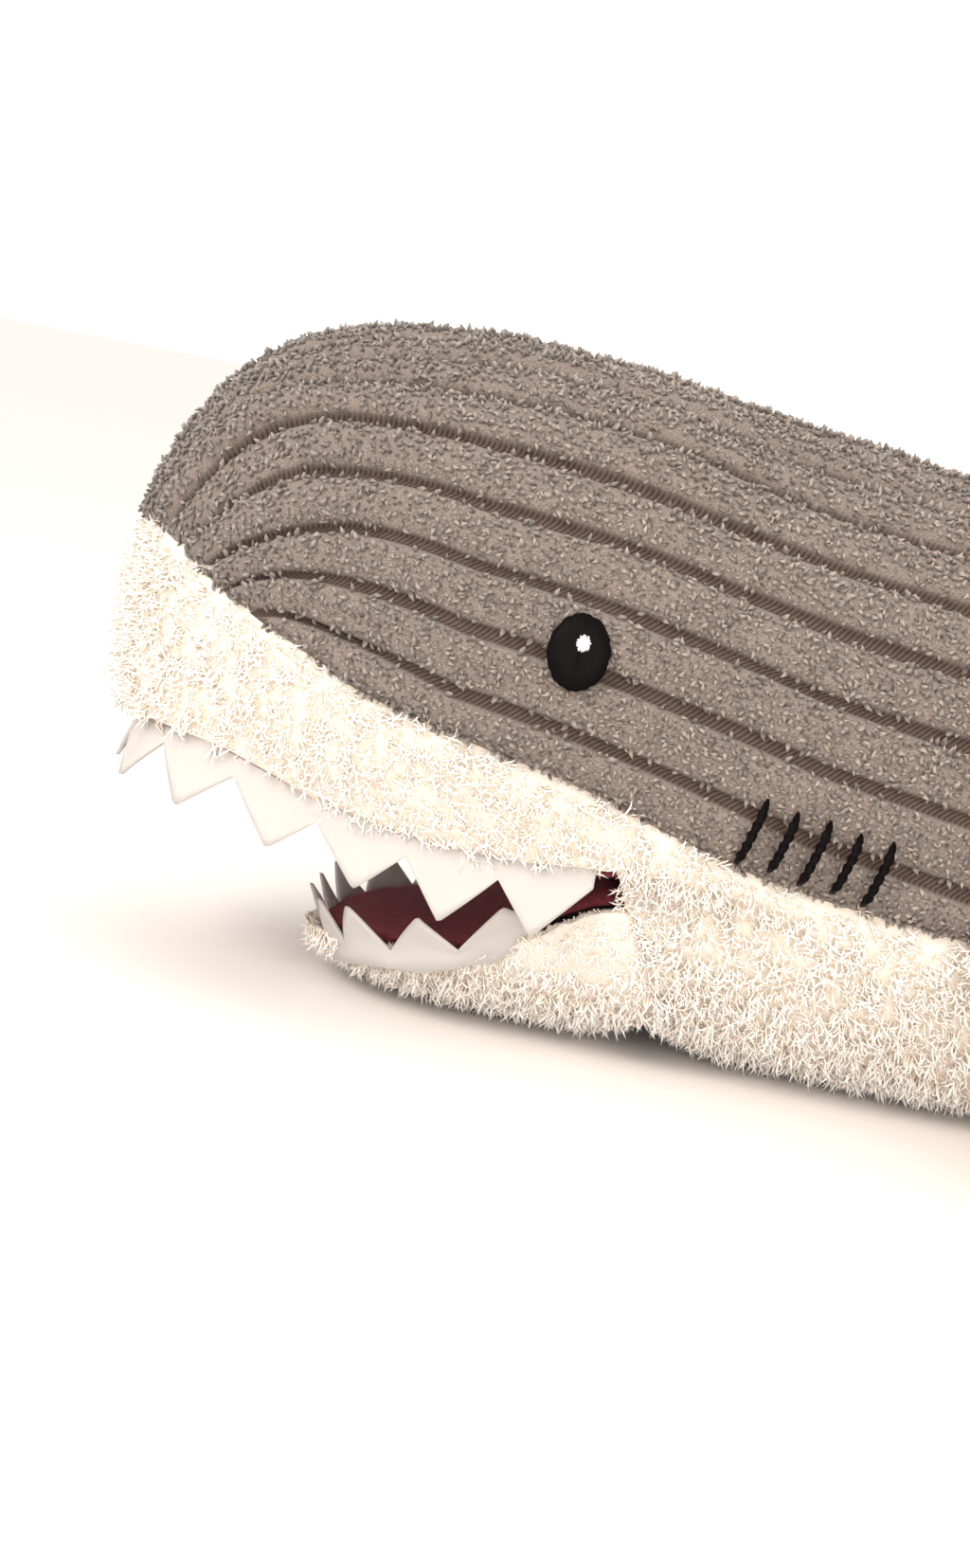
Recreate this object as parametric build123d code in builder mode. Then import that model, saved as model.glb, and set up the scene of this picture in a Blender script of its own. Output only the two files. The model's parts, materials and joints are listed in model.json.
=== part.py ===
"""Plush shark, sewn from jumbo-cord plush and sherpa, stuffed with fibre fill.

Millimetres. +Z is up, the nose points to -X, and the shark's left side is -Y.
The origin is on the flat of the belly, which the shark rests on.

The stuffed body is a row of rounded cross-sections. The covers are shells cut
out of it along the sewn seams, and the filling is what is left inside them.
"""
import os
from math import atan2, cos, hypot, pi, sin, sqrt

from build123d import *

# ---- driving dimensions -------------------------------------------------------------------------
NOSE_X = -200.0             # tip of the snout
NOSE_ROUND = 34.0           # length over which the snout rounds off
NOSE_MID_Z = 54.0           # height of the tip of the snout
TAIL_ROOT_X = 128.5         # end of the tail stock, where the tail fin is sewn on
COVER = 3.5                 # thickness of the pile fabric covers
BODY_GAP = 0.8              # clearance between pieces that move against each other

# one row for each cross-section: x, top z, bottom z, half width, z of the widest level
NOSE_SECTION = (NOSE_X, 98.0, 18.0, 36.0, 52.0)
BODY_SECTIONS = [
    (-166.0, 102.5, 10.0, 40.0, 50.0),
    (-136.0, 104.5, 4.0, 43.5, 48.0),
    (-107.0, 101.5, 0.5, 45.0, 46.0),
    (-70.0, 96.0, -1.5, 45.0, 44.0),
    (-20.0, 87.5, -1.5, 41.5, 42.0),
    (30.0, 76.5, -1.0, 34.5, 41.0),
    (80.0, 64.5, 9.0, 23.5, 40.0),
    (TAIL_ROOT_X, 56.0, 29.0, 12.0, 43.0),
]
UPPER_SQUARENESS = 2.2      # superellipse exponent above the widest level
LOWER_SQUARENESS = 2.4      # and below it

# seam between the grey back and the cream underside: x, z
SIDE_SEAM = [(NOSE_X - 3, 72), (NOSE_X + 7, 66), (-172, 55), (-150, 47.7), (-119, 41), (-98, 34.5),
             (-67, 30.8), (-20, 29), (40, 29), (80, 31), (TAIL_ROOT_X + 6.5, 38)]
LIP_END_X = -112.0          # where the lip panel is joined to the belly panel

# mouth
UPPER_LIP = [(NOSE_X - 5, 37), (NOSE_X + 10, 36.8), (-174, 35.2), (-161, 31.6), (-149, 29.4), (-136, 28.2),
             (-124, 29), (-114, 30)]
LOWER_LIP = [(-170, 8), (-161, 8.6), (-151, 11), (-141, 12.6), (-130, 17), (-121, 24), (-114, 27.4)]
LINING = 2.0                # thickness of the velour mouth lining
JAW_COVER = 3.0
JAW_HINGE = (-108.0, 27.0)  # x, z of the fold at the corners of the mouth
JAW_HEEL = 21.0             # radius of the back of the lower jaw about that fold
JAW_SECTIONS = [            # x, bottom z, half width
    (-162.0, 7.6, 9.0),
    (-156.5, 3.4, 22.5),
    (-148.0, 1.3, 30.0),
    (-136.0, 0.7, 35.0),
    (-121.0, 0.8, 37.8),
    (-103.0, 2.0, 40.0),
    (-84.0, 2.0, 41.0),
]
JAW_MID_Z = 30.0            # widest level of the lower jaw's sections
THROAT_X = -100.5           # front face of the chest under the jaw

# teeth, cut in a zigzag from felt
FELT = 1.2
TOOTH_BAND = 1.4            # uncut strip along the root of the teeth
TOOTH_LAP = 0.6             # overlap of one tooth's strip on the next
UPPER_TEETH, UPPER_TOOTH = 14, 6.0
LOWER_TEETH, LOWER_TOOTH = 10, 5.0
UPPER_ROW = (-118.0, 72.0, 39.8, 3.0)   # centre x, length, half width, squareness
LOWER_ROW = (-124.0, 36.5, 35.0, 2.6)

# embroidered eyes and gill stitches: positions are on the side view
EYE_X, EYE_Z, EYE_WIDE, EYE_TALL, EYE_PROUD = -126.7, 61.8, 9.0, 11.0, 1.2
GLINT_WIDE, GLINT_TALL, GLINT_PROUD = 2.8, 3.2, 0.6
GLINT_SHIFT = (0.5, 1.0)
GILLS, GILL_PITCH, GILL_DROP = 5, 4.7, 0.65
GILL_LENGTH, GILL_WIDE, GILL_LEAN, GILL_PROUD = 10.5, 1.7, 15.0, 0.9
FIRST_GILL = (-97.8, 41.6)

# tail
TAIL_SWING_X = 85.0         # upright axis that the tail stock swings about
TAIL_SWING_R = 29.0
FIN_HINGE_X = TAIL_ROOT_X + 1.5   # upright axis that the tail fin bends about
TAIL_FIN_ROOT_R = 5.4
TAIL_FIN_TIP = 2.6
TAIL_MID_Z = 44.0
TAIL_ROOT = 28.0            # length of the fin's seam up the end of the tail stock

# fins
FIN_COVER = 2.2
DORSAL_FRONT_X, DORSAL_BACK_X = -25.0, 45.0
DORSAL_HEIGHT = 52.0
DORSAL_ROOT_R, DORSAL_TIP = 5.0, 2.6
PECTORAL_FRONT_X, PECTORAL_BACK_X, PECTORAL_Z = -64.0, -18.0, 30.0
PECTORAL_REACH, PECTORAL_DROOP = 50.0, 16.0
PECTORAL_ROOT_R, PECTORAL_TIP = 4.6, 2.6

# label and hand-sewn closing
LABEL_X, LABEL_WIDE, LABEL_LONG, LABEL_THICK = 52.0, 14.0, 17.0, 0.6
CLOSING_FIRST_X, CLOSING_PITCH, CLOSING_COUNT = -20.0, 5.5, 10
CLOSING_LONG, CLOSING_WIDE, CLOSING_PROUD = 4.6, 1.2, 0.7

FAR = 400.0                 # larger than the whole shark, for cutting blocks


# ---- shape of the stuffed body ------------------------------------------------------------------
def between(rows, x, column=1):
    """Value of a column at x, along a smooth curve through the rows."""
    x = min(max(x, rows[0][0]), rows[-1][0])
    slopes = []
    for i in range(len(rows)):
        a, b = rows[max(i - 1, 0)], rows[min(i + 1, len(rows) - 1)]
        slopes.append((b[column] - a[column]) / (b[0] - a[0]))
    i = max(k for k in range(len(rows) - 1) if rows[k][0] <= x)
    step = rows[i + 1][0] - rows[i][0]
    t = (x - rows[i][0]) / step
    return (
        (2 * t**3 - 3 * t**2 + 1) * rows[i][column]
        + (t**3 - 2 * t**2 + t) * step * slopes[i]
        + (3 * t**2 - 2 * t**3) * rows[i + 1][column]
        + (t**3 - t**2) * step * slopes[i + 1]
    )


def section_points(top, bottom, half_width, widest, inset=0.0, count=12):
    """Points of one rounded cross-section, as (y, z), starting at the right side."""
    points = []
    for k in range(count):
        c, s = cos(2 * pi * k / count), sin(2 * pi * k / count)
        power = 2 / (UPPER_SQUARENESS if s > 0 else LOWER_SQUARENESS)
        height = (top - widest if s > 0 else widest - bottom) - inset
        y = (half_width - inset) * abs(c) ** power * (1 if c > 0 else -1)
        z = widest + height * abs(s) ** power * (1 if s > 0 else -1)
        points.append((y, z))
    return points


def body_half_width(x, z):
    """Half width of the body at a place behind the rounded snout."""
    rows = [NOSE_SECTION] + BODY_SECTIONS
    top, bottom, half, widest = (between(rows, x, c) for c in (1, 2, 3, 4))
    power = UPPER_SQUARENESS if z > widest else LOWER_SQUARENESS
    height = top - widest if z > widest else widest - bottom
    return half * (1 - min(abs(z - widest) / height, 1) ** power) ** (1 / power)


def loft_sections(stations):
    """Solid through closed smooth sections, given as (x, points)."""
    with BuildPart() as solid:
        for x, points in stations:
            with BuildSketch(Plane.YZ.offset(x)):
                with BuildLine():
                    Spline(*points, periodic=True)
                make_face()
        loft()
    return solid.part


def body_form(inset=0.0):
    """The whole stuffed body, or the same shape a little smaller."""
    rows = [NOSE_SECTION] + BODY_SECTIONS
    stations = []
    for angle in (14, 36, 62):
        grow = sin(angle * pi / 180)
        x = NOSE_X + inset + (NOSE_ROUND - inset) * (1 - cos(angle * pi / 180))
        top, bottom, half, widest = (between(rows, x, c) for c in (1, 2, 3, 4))
        top = NOSE_MID_Z + (top - inset - NOSE_MID_Z) * grow
        bottom = NOSE_MID_Z + (bottom + inset - NOSE_MID_Z) * grow
        widest = NOSE_MID_Z + (widest - NOSE_MID_Z) * grow
        stations.append((x, section_points(top, bottom, (half - inset) * grow, widest)))
    for x, top, bottom, half, widest in BODY_SECTIONS:
        stations.append((x, section_points(top, bottom, half, widest, inset)))
    return loft_sections(stations)


def jaw_form(inset=0.0):
    """The lower jaw's outer shape, before the mouth is cut away above it."""
    stations = []
    for row, (x, bottom, half) in enumerate(JAW_SECTIONS):
        x += inset * max(1 - row / 3, 0)
        top = 2 * JAW_MID_Z - bottom
        stations.append((x, section_points(top, bottom, half, JAW_MID_Z, inset)))
    return loft_sections(stations)


def side_block(points, curved=None):
    """Block with an outline drawn on the side view, right through the shark."""
    with BuildPart() as block:
        with BuildSketch(Plane.XZ):
            with BuildLine():
                if curved:
                    Spline(*curved)
                Polyline(*points)
            make_face()
        extrude(amount=FAR / 2, both=True)
    return block.part


def above(curve, shift=0.0):
    """Everything over a curve on the side view."""
    line = [(x, z + shift) for x, z in curve]
    corners = [line[-1], (line[-1][0], FAR), (line[0][0], FAR), line[0]]
    return side_block(corners, line)


# ---- cutting blocks -----------------------------------------------------------------------------
outer = body_form()
inner = body_form(COVER)
over_seam = above([(-230, 80)] + SIDE_SEAM[1:-1] + [(160, 42)])

with BuildPart() as left_half:
    Box(2 * FAR, FAR, 2 * FAR, align=(Align.CENTER, Align.MAX, Align.CENTER))
with BuildPart() as right_half:
    Box(2 * FAR, FAR, 2 * FAR, align=(Align.CENTER, Align.MIN, Align.CENTER))
with BuildPart() as over_floor:
    Box(2 * FAR, FAR, FAR, align=(Align.CENTER, Align.CENTER, Align.MIN))

hinge_x, hinge_z = JAW_HINGE
socket_r = JAW_HEEL + BODY_GAP
throat_z = hinge_z - sqrt(socket_r**2 - (THROAT_X - hinge_x) ** 2)
corner_x, corner_z = UPPER_LIP[-1]
with BuildPart() as mouth_block:        # what the upper body leaves free for the mouth and jaw
    with BuildSketch(Plane.XZ):
        with BuildLine():
            Spline(*UPPER_LIP)
            Line((corner_x, corner_z), (hinge_x + socket_r, corner_z))
            Line((hinge_x + socket_r, corner_z), (hinge_x + socket_r, hinge_z))
            RadiusArc((hinge_x + socket_r, hinge_z), (THROAT_X, throat_z), socket_r)
            Polyline((THROAT_X, throat_z), (THROAT_X, -FAR), (UPPER_LIP[0][0], -FAR), UPPER_LIP[0])
        make_face()
    extrude(amount=FAR / 2, both=True)

with BuildPart() as tail_swing:         # the round end that the tail stock turns on, and all behind
    with BuildSketch(Plane.XY):
        with Locations((TAIL_SWING_X, 0)):
            Circle(TAIL_SWING_R)
        with Locations((TAIL_SWING_X + FAR / 2, 0)):
            Rectangle(FAR, FAR)
    extrude(amount=FAR, both=True)
with BuildPart() as tail_socket:
    with BuildSketch(Plane.XY):
        with Locations((TAIL_SWING_X, 0)):
            Circle(TAIL_SWING_R + BODY_GAP / 2)
        with Locations((TAIL_SWING_X + FAR / 2, 0)):
            Rectangle(FAR, FAR)
    extrude(amount=FAR, both=True)
with BuildPart() as fin_socket:         # groove that the tail fin's root turns in
    with Locations((FIN_HINGE_X, 0, TAIL_MID_Z)):
        Cylinder(TAIL_FIN_ROOT_R + BODY_GAP, FAR)


def shell_panel(name, skin, core, keep, drop):
    """Cover piece: the skin less its core, inside every block kept and outside those dropped."""
    with BuildPart() as panel:
        add(skin)
        add(core, mode=Mode.SUBTRACT)
        for block in drop:
            add(block, mode=Mode.SUBTRACT)
        for block in keep:
            add(block, mode=Mode.INTERSECT)
    finish(name, panel)


def solid_core(name, core, keep, drop):
    """Filling or lining: the core inside every block kept and outside those dropped."""
    with BuildPart() as body:
        add(core)
        for block in drop:
            add(block, mode=Mode.SUBTRACT)
        for block in keep:
            add(block, mode=Mode.INTERSECT)
    finish(name, body)


def finish(name, piece):
    piece.part.label = name
    export_step(piece.part, f"parts/{name}.step")


os.makedirs("parts", exist_ok=True)

# ---- torso: covers, mouth roof and filling ------------------------------------------------------
torso_cut = [mouth_block.part, tail_socket.part]
sides = {"left": left_half.part, "right": right_half.part}
with BuildPart() as before_lip_end:
    with Locations((LIP_END_X, 0, 0)):
        Box(FAR, FAR, 2 * FAR, align=(Align.MAX, Align.CENTER, Align.CENTER))

for side, half in sides.items():
    shell_panel(f"back_panel_{side}", outer, inner, [over_seam, half], torso_cut)
shell_panel("upper_lip_panel", outer, inner, [before_lip_end.part], torso_cut + [over_seam])
shell_panel("belly_panel", outer, inner, [over_floor.part],
            torso_cut + [over_seam, before_lip_end.part])

over_palate = above([(x, z + LINING) for x, z in UPPER_LIP])
with BuildPart() as lip_stretch:        # the part of the torso that hangs over the mouth
    with Locations((corner_x, 0, 0)):
        Box(FAR, FAR, 2 * FAR, align=(Align.MAX, Align.CENTER, Align.CENTER))
solid_core("palate_lining", inner, [lip_stretch.part], torso_cut + [over_palate])
with BuildPart() as palate_slab:
    add(lip_stretch.part)
    add(over_palate, mode=Mode.SUBTRACT)
solid_core("torso_filling", inner, [over_floor.part], torso_cut + [palate_slab.part])

# ---- lower jaw ----------------------------------------------------------------------------------
jaw_outer = jaw_form()
jaw_inner = jaw_form(JAW_COVER)
heel_top_angle = -22 * pi / 180         # the heel stops here, short of the cheek above it
heel_top = (hinge_x + JAW_HEEL * cos(heel_top_angle), hinge_z + JAW_HEEL * sin(heel_top_angle))


def jaw_block(lowered=0.0):
    """Side view of the jaw: the lower lip in front, and the round heel behind."""
    lip = [(x, z - lowered) for x, z in LOWER_LIP]
    with BuildPart() as block:
        with BuildSketch(Plane.XZ):
            with BuildLine():
                Spline(*lip)
                Polyline(lip[-1], (hinge_x, hinge_z - lowered), heel_top)
                RadiusArc(heel_top, (hinge_x, hinge_z - JAW_HEEL), JAW_HEEL)
                Polyline((hinge_x, hinge_z - JAW_HEEL), (hinge_x, -FAR), (lip[0][0], -FAR), lip[0])
            make_face()
        extrude(amount=FAR / 2, both=True)
    return block.part


jaw_all = jaw_block()
jaw_below_lining = jaw_block(LINING)
with BuildPart() as jaw_lining_block:
    add(jaw_all)
    add(jaw_below_lining, mode=Mode.SUBTRACT)
shell_panel("jaw_cover", jaw_outer, jaw_inner, [jaw_all], [])
solid_core("jaw_lining", jaw_inner, [jaw_lining_block.part], [])
solid_core("jaw_filling", jaw_inner, [jaw_below_lining], [])


# ---- teeth --------------------------------------------------------------------------------------
def row_points(centre_x, length, half_width, squareness, count):
    """Even places along the curve of a row of teeth, as (x, y, heading, pitch)."""
    power = 2 / squareness
    curve = []
    for k in range(721):
        angle = pi * k / 720 - pi / 2
        c, s = cos(angle), sin(angle)
        curve.append((centre_x - length * abs(c) ** power,
                      half_width * abs(s) ** power * (1 if s > 0 else -1)))
    walked = [0.0]
    for a, b in zip(curve, curve[1:]):
        walked.append(walked[-1] + hypot(b[0] - a[0], b[1] - a[1]))
    pitch = walked[-1] / count

    def at(distance):
        k = next(i for i, w in enumerate(walked) if w >= distance - 1e-9)
        return curve[k]

    places = []
    for i in range(count):
        a, b = at(i * pitch), at((i + 1) * pitch)
        heading = atan2(b[1] - a[1], b[0] - a[0])
        places.append(((a[0] + b[0]) / 2, (a[1] + b[1]) / 2, heading, hypot(b[0] - a[0], b[1] - a[1])))
    return places


def zigzag(row, count, height, lip, up, trim):
    """Felt strip of teeth that stands on a lip: up is 1 for the lower row and -1 for the upper."""
    with BuildPart() as strip:
        for x, y, heading, chord in row_points(*row, count):
            z = between(lip, x)
            slope = (between(lip, x + 2) - between(lip, x - 2)) / 4 * cos(heading)
            along = Vector(cos(heading), sin(heading), slope)
            across = Vector(-sin(heading), cos(heading), 0)
            plane = Plane(origin=(x, y, z), x_dir=along, z_dir=across)
            rise = up if plane.y_dir.Z > 0 else -up
            half = chord / 2 + TOOTH_LAP
            with BuildSketch(plane):
                with BuildLine():
                    Polyline((-half, -rise * 3 * TOOTH_BAND), (half, -rise * 3 * TOOTH_BAND),
                             (half, rise * TOOTH_BAND), (0, rise * (TOOTH_BAND + height)),
                             (-half, rise * TOOTH_BAND), close=True)
                make_face()
            extrude(amount=FELT / 2, both=True)
        add(trim, mode=Mode.SUBTRACT)
    return strip


upper_teeth = zigzag(UPPER_ROW, UPPER_TEETH, UPPER_TOOTH, UPPER_LIP, -1, above(UPPER_LIP))
finish("upper_teeth", upper_teeth)
lower_teeth = zigzag(LOWER_ROW, LOWER_TEETH, LOWER_TOOTH, LOWER_LIP, 1, jaw_all)
finish("lower_teeth", lower_teeth)


# ---- embroidery ---------------------------------------------------------------------------------
def side_plane(sign, x, z):
    """Plane that lies against one side of the body, z outwards. sign is -1 on the left."""
    slope_x = (body_half_width(x + 2, z) - body_half_width(x - 2, z)) / 4
    slope_z = (body_half_width(x, z + 2) - body_half_width(x, z - 2)) / 4
    outward = Vector(-slope_x, sign, -slope_z)
    origin = Vector(x, sign * body_half_width(x, z), z)
    return Plane(origin=origin, x_dir=(1, sign * slope_x, 0), z_dir=outward)


def stitches(name, sign, places, wide, tall, lean, proud):
    """Raised bars of thread that lie on one side of the body."""
    with BuildPart() as bars:
        for x, z in places:
            plane = side_plane(sign, x, z)
            turn = 90 + lean * (1 if plane.y_dir.Z > 0 else -1)
            with BuildSketch(plane.offset(-wide)):
                SlotOverall(tall, wide, rotation=turn)
            extrude(amount=wide + proud)
        add(outer, mode=Mode.SUBTRACT)
    finish(name, bars)


def eye_patch(name, plane, wide, tall, low, high):
    """Oval of satin stitch between two heights over the cloth."""
    with BuildPart() as patch:
        with BuildSketch(plane.offset(low)):
            Ellipse(wide / 2, tall / 2)
        extrude(amount=high - low)
        add(outer, mode=Mode.SUBTRACT)
    finish(name, patch)


gill_places = [(FIRST_GILL[0] + i * GILL_PITCH, FIRST_GILL[1] - i * GILL_DROP) for i in range(GILLS)]
for side, sign in (("left", -1), ("right", 1)):
    eye_patch(f"eye_{side}", side_plane(sign, EYE_X, EYE_Z), EYE_WIDE, EYE_TALL, -EYE_PROUD, EYE_PROUD)
    on_eye = side_plane(sign, EYE_X, EYE_Z)
    on_eye.origin += on_eye.x_dir * GLINT_SHIFT[0] + Vector(0, 0, GLINT_SHIFT[1])
    eye_patch(f"eye_glint_{side}", on_eye, GLINT_WIDE, GLINT_TALL, EYE_PROUD, EYE_PROUD + GLINT_PROUD)
    stitches(f"gill_stitches_{side}", sign, gill_places, GILL_WIDE, GILL_LENGTH, GILL_LEAN, GILL_PROUD)

closing_xs = [CLOSING_FIRST_X + i * CLOSING_PITCH for i in range(CLOSING_COUNT)]
closing_places = [(x, between(SIDE_SEAM, x)) for x in closing_xs]
stitches("closing_stitches", 1, closing_places, CLOSING_WIDE, CLOSING_LONG, 0, CLOSING_PROUD)

with BuildPart() as sewn_label:         # blank satin label caught in the right side seam
    label_z = between(SIDE_SEAM, LABEL_X)
    with Locations((LABEL_X, body_half_width(LABEL_X, label_z), label_z)):
        Box(LABEL_WIDE, LABEL_THICK, LABEL_LONG, align=(Align.CENTER, Align.MIN, Align.MAX))
    add(outer, mode=Mode.SUBTRACT)
finish("sewn_label", sewn_label)

# ---- tail stock ---------------------------------------------------------------------------------
stock_keep = [tail_swing.part]
stock_drop = [fin_socket.part]
for side, half in sides.items():
    shell_panel(f"tail_stock_panel_{side}", outer, inner, stock_keep + [over_seam, half], stock_drop)
shell_panel("tail_stock_belly", outer, inner, stock_keep, stock_drop + [over_seam])
solid_core("tail_stock_filling", inner, stock_keep, stock_drop)


# ---- fins ---------------------------------------------------------------------------------------
def shrink_curve(points, distance):
    """An open outline's points, each moved square to the outline towards the inside of the fin."""
    moved = []
    for i, (x, y) in enumerate(points):
        a, b = points[max(i - 1, 0)], points[min(i + 1, len(points) - 1)]
        size = hypot(b[0] - a[0], b[1] - a[1])
        moved.append((x + (b[1] - a[1]) / size * distance, y - (b[0] - a[0]) / size * distance))
    return moved


def fin_blank(place, curve, reach, root_r, tip, inset=0.0):
    """Stuffed fin on its own plane: x along the root, y outwards, z through its thickness.

    The curve runs from one end of the root round the tip to the other, with the fin on its right.
    The root is round about the plane's x axis, so that the fin can fold there.
    """
    line = shrink_curve(curve, inset) if inset else curve
    r, t = root_r - inset, tip - inset / 2
    edge = Plane(origin=place.origin, x_dir=place.y_dir, z_dir=place.x_dir)
    with BuildPart() as blank:
        with BuildSketch(place.offset(-root_r)):
            with BuildLine():
                Spline(*line)
                Polyline(line[-1], (line[-1][0], -root_r), (line[0][0], -root_r), line[0])
            make_face()
        extrude(amount=2 * root_r)
        with BuildSketch(edge.offset(-FAR / 2)):
            with BuildLine():
                ThreePointArc((0, r), (-r, 0), (0, -r))
                Line((0, -r), (reach, -t))
                ThreePointArc((reach, -t), (reach + t, 0), (reach, t))
                Line((reach, t), (0, r))
            make_face()
        extrude(amount=FAR, mode=Mode.INTERSECT)
    return blank.part


def make_fin(names, place, curve, reach, root_r, tip):
    """Two cover panels and a filling. names are for the panel on +z, the one on -z and the fill."""
    skin = fin_blank(place, curve, reach, root_r, tip)
    core = fin_blank(place, curve, reach, root_r, tip, FIN_COVER)
    with BuildPart() as front:
        with BuildSketch(place):
            Rectangle(FAR, FAR)
        extrude(amount=FAR)
    shell_panel(names[0], skin, core, [front.part], [])
    shell_panel(names[1], skin, core, [], [front.part])
    solid_core(names[2], core, [], [])


# tail fin: its root runs up the end of the tail stock, and its plane's z points to the left side
tail_place = Plane(origin=(FIN_HINGE_X, 0, TAIL_MID_Z + TAIL_ROOT / 2), x_dir=(0, 0, -1), z_dir=(0, -1, 0))
tail_curve = [(0, 0), (-18, 26), (-46, 60), (-48, 67), (-40, 69), (-16, 48), (4, 39), (22, 43),
              (44, 51), (51, 49), (51, 42), (38, 18), (TAIL_ROOT, 0)]
make_fin(["tail_fin_panel_left", "tail_fin_panel_right", "tail_fin_filling"], tail_place,
         tail_curve, 66, TAIL_FIN_ROOT_R, TAIL_FIN_TIP)

# dorsal fin: its root lies along the slope of the back
dorsal_lift = DORSAL_ROOT_R + BODY_GAP + 0.4
dorsal_a = Vector(DORSAL_FRONT_X, 0, between(BODY_SECTIONS, DORSAL_FRONT_X) + dorsal_lift)
dorsal_b = Vector(DORSAL_BACK_X, 0, between(BODY_SECTIONS, DORSAL_BACK_X) + dorsal_lift)
dorsal_root = (dorsal_b - dorsal_a).length
dorsal_place = Plane(origin=dorsal_a, x_dir=dorsal_b - dorsal_a, z_dir=(0, -1, 0))
dorsal_curve = [(0, 0), (0.26 * dorsal_root, 19), (0.56 * dorsal_root, 39), (0.8 * dorsal_root, 50),
                (dorsal_root + 2, DORSAL_HEIGHT), (dorsal_root + 5, 47), (0.9 * dorsal_root, 30),
                (0.9 * dorsal_root, 13), (dorsal_root, 0)]
make_fin(["dorsal_fin_panel_left", "dorsal_fin_panel_right", "dorsal_fin_filling"], dorsal_place,
         dorsal_curve, DORSAL_HEIGHT, DORSAL_ROOT_R, DORSAL_TIP)

# pectoral fins: their roots lie along the side seams behind the gills
for side, sign in (("left", -1), ("right", 1)):
    ends = []
    for x in (PECTORAL_FRONT_X, PECTORAL_BACK_X):
        y = body_half_width(x, PECTORAL_Z) + PECTORAL_ROOT_R + BODY_GAP + 0.4
        ends.append(Vector(x, sign * y, PECTORAL_Z))
    along = ends[1] - ends[0]
    root = along.length
    droop = PECTORAL_DROOP * pi / 180
    outward = Vector(-sign * along.Y, sign * along.X, 0).normalized() * cos(droop) - Vector(0, 0, sin(droop))
    place = Plane(origin=ends[0], x_dir=along, z_dir=along.cross(outward))
    curve = [(0, 0), (12, 20), (30, 39), (root + 8, PECTORAL_REACH), (root + 17, PECTORAL_REACH - 2),
             (root + 15, 36), (root + 6, 16), (root, 0)]
    faces = ("top", "underside") if place.z_dir.Z > 0 else ("underside", "top")
    make_fin([f"pectoral_fin_{side}_{faces[0]}", f"pectoral_fin_{side}_{faces[1]}",
              f"pectoral_fin_{side}_filling"],
             place, curve, PECTORAL_REACH, PECTORAL_ROOT_R, PECTORAL_TIP)
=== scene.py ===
"""Plush shark in jumbo-cord plush and sherpa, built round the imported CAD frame. Metres."""
import json
import math

import bmesh
import bpy
import numpy as np
from mathutils import Matrix, Vector, noise
from mathutils.bvhtree import BVHTree


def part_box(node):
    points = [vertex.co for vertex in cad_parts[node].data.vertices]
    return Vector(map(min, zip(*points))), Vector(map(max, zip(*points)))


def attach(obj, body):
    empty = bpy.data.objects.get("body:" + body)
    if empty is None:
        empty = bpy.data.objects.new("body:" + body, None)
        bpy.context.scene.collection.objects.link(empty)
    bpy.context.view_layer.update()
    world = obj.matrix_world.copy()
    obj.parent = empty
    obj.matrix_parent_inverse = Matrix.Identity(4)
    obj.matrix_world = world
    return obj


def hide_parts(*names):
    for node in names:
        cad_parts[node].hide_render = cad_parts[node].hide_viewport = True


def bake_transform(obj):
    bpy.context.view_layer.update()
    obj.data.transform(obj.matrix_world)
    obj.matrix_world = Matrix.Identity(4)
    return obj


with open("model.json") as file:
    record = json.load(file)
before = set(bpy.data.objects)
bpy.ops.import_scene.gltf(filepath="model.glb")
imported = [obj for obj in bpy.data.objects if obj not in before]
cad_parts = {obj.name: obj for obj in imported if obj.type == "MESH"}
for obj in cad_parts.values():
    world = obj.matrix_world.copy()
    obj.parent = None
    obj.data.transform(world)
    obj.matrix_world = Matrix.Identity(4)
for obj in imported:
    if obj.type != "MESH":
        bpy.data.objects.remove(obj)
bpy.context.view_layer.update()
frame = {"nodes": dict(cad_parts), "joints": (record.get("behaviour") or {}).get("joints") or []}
MM = 0.001

# ------------------------------------------------------------
# Grey back covers, left and right: jumbo-cord plush, pile ribs about 9 mm wide on a brown twill
# ground, cut with the ribs along the body and sewn together down the spine. They run on over the
# tail stock.
# ------------------------------------------------------------
UPPER_NODES = ["back_panel_left", "back_panel_right", "tail_stock_panel_left", "tail_stock_panel_right"]
LOWER_NODES = ["upper_lip_panel", "belly_panel", "tail_stock_belly", "palate_lining"]
RIB = 9.4 * MM              # pitch of the ribs
PILE = 1.9 * MM             # height of the ribs over the ground
NOSE_TURN = -0.163          # x where the rounded snout starts
CORE_Z, CORE_FALL = 0.054, 0.011    # height of the body's middle line, and its fall to the tail
RAY_START = 0.3             # rays come in from this far out
SECTION_STEP = 0.0017       # distance between sections


def cad_tree(names):
    """Surface of some CAD nodes for casting rays, and the number of the node each face is from."""
    verts, faces, owners = [], [], []
    for number, name in enumerate(names):
        mesh = frame["nodes"][name].data
        base = len(verts)
        verts += [v.co.copy() for v in mesh.vertices]
        faces += [[base + i for i in p.vertices] for p in mesh.polygons]
        owners += [number] * len(mesh.polygons)
    return BVHTree.FromPolygons(verts, faces), owners


def smooth(values, passes):
    """Running average along the first axis, ends kept."""
    values = np.array(values, float)
    for _ in range(passes):
        values[1:-1] = (values[:-2] + 2 * values[1:-1] + values[2:]) / 4
    return values


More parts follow.
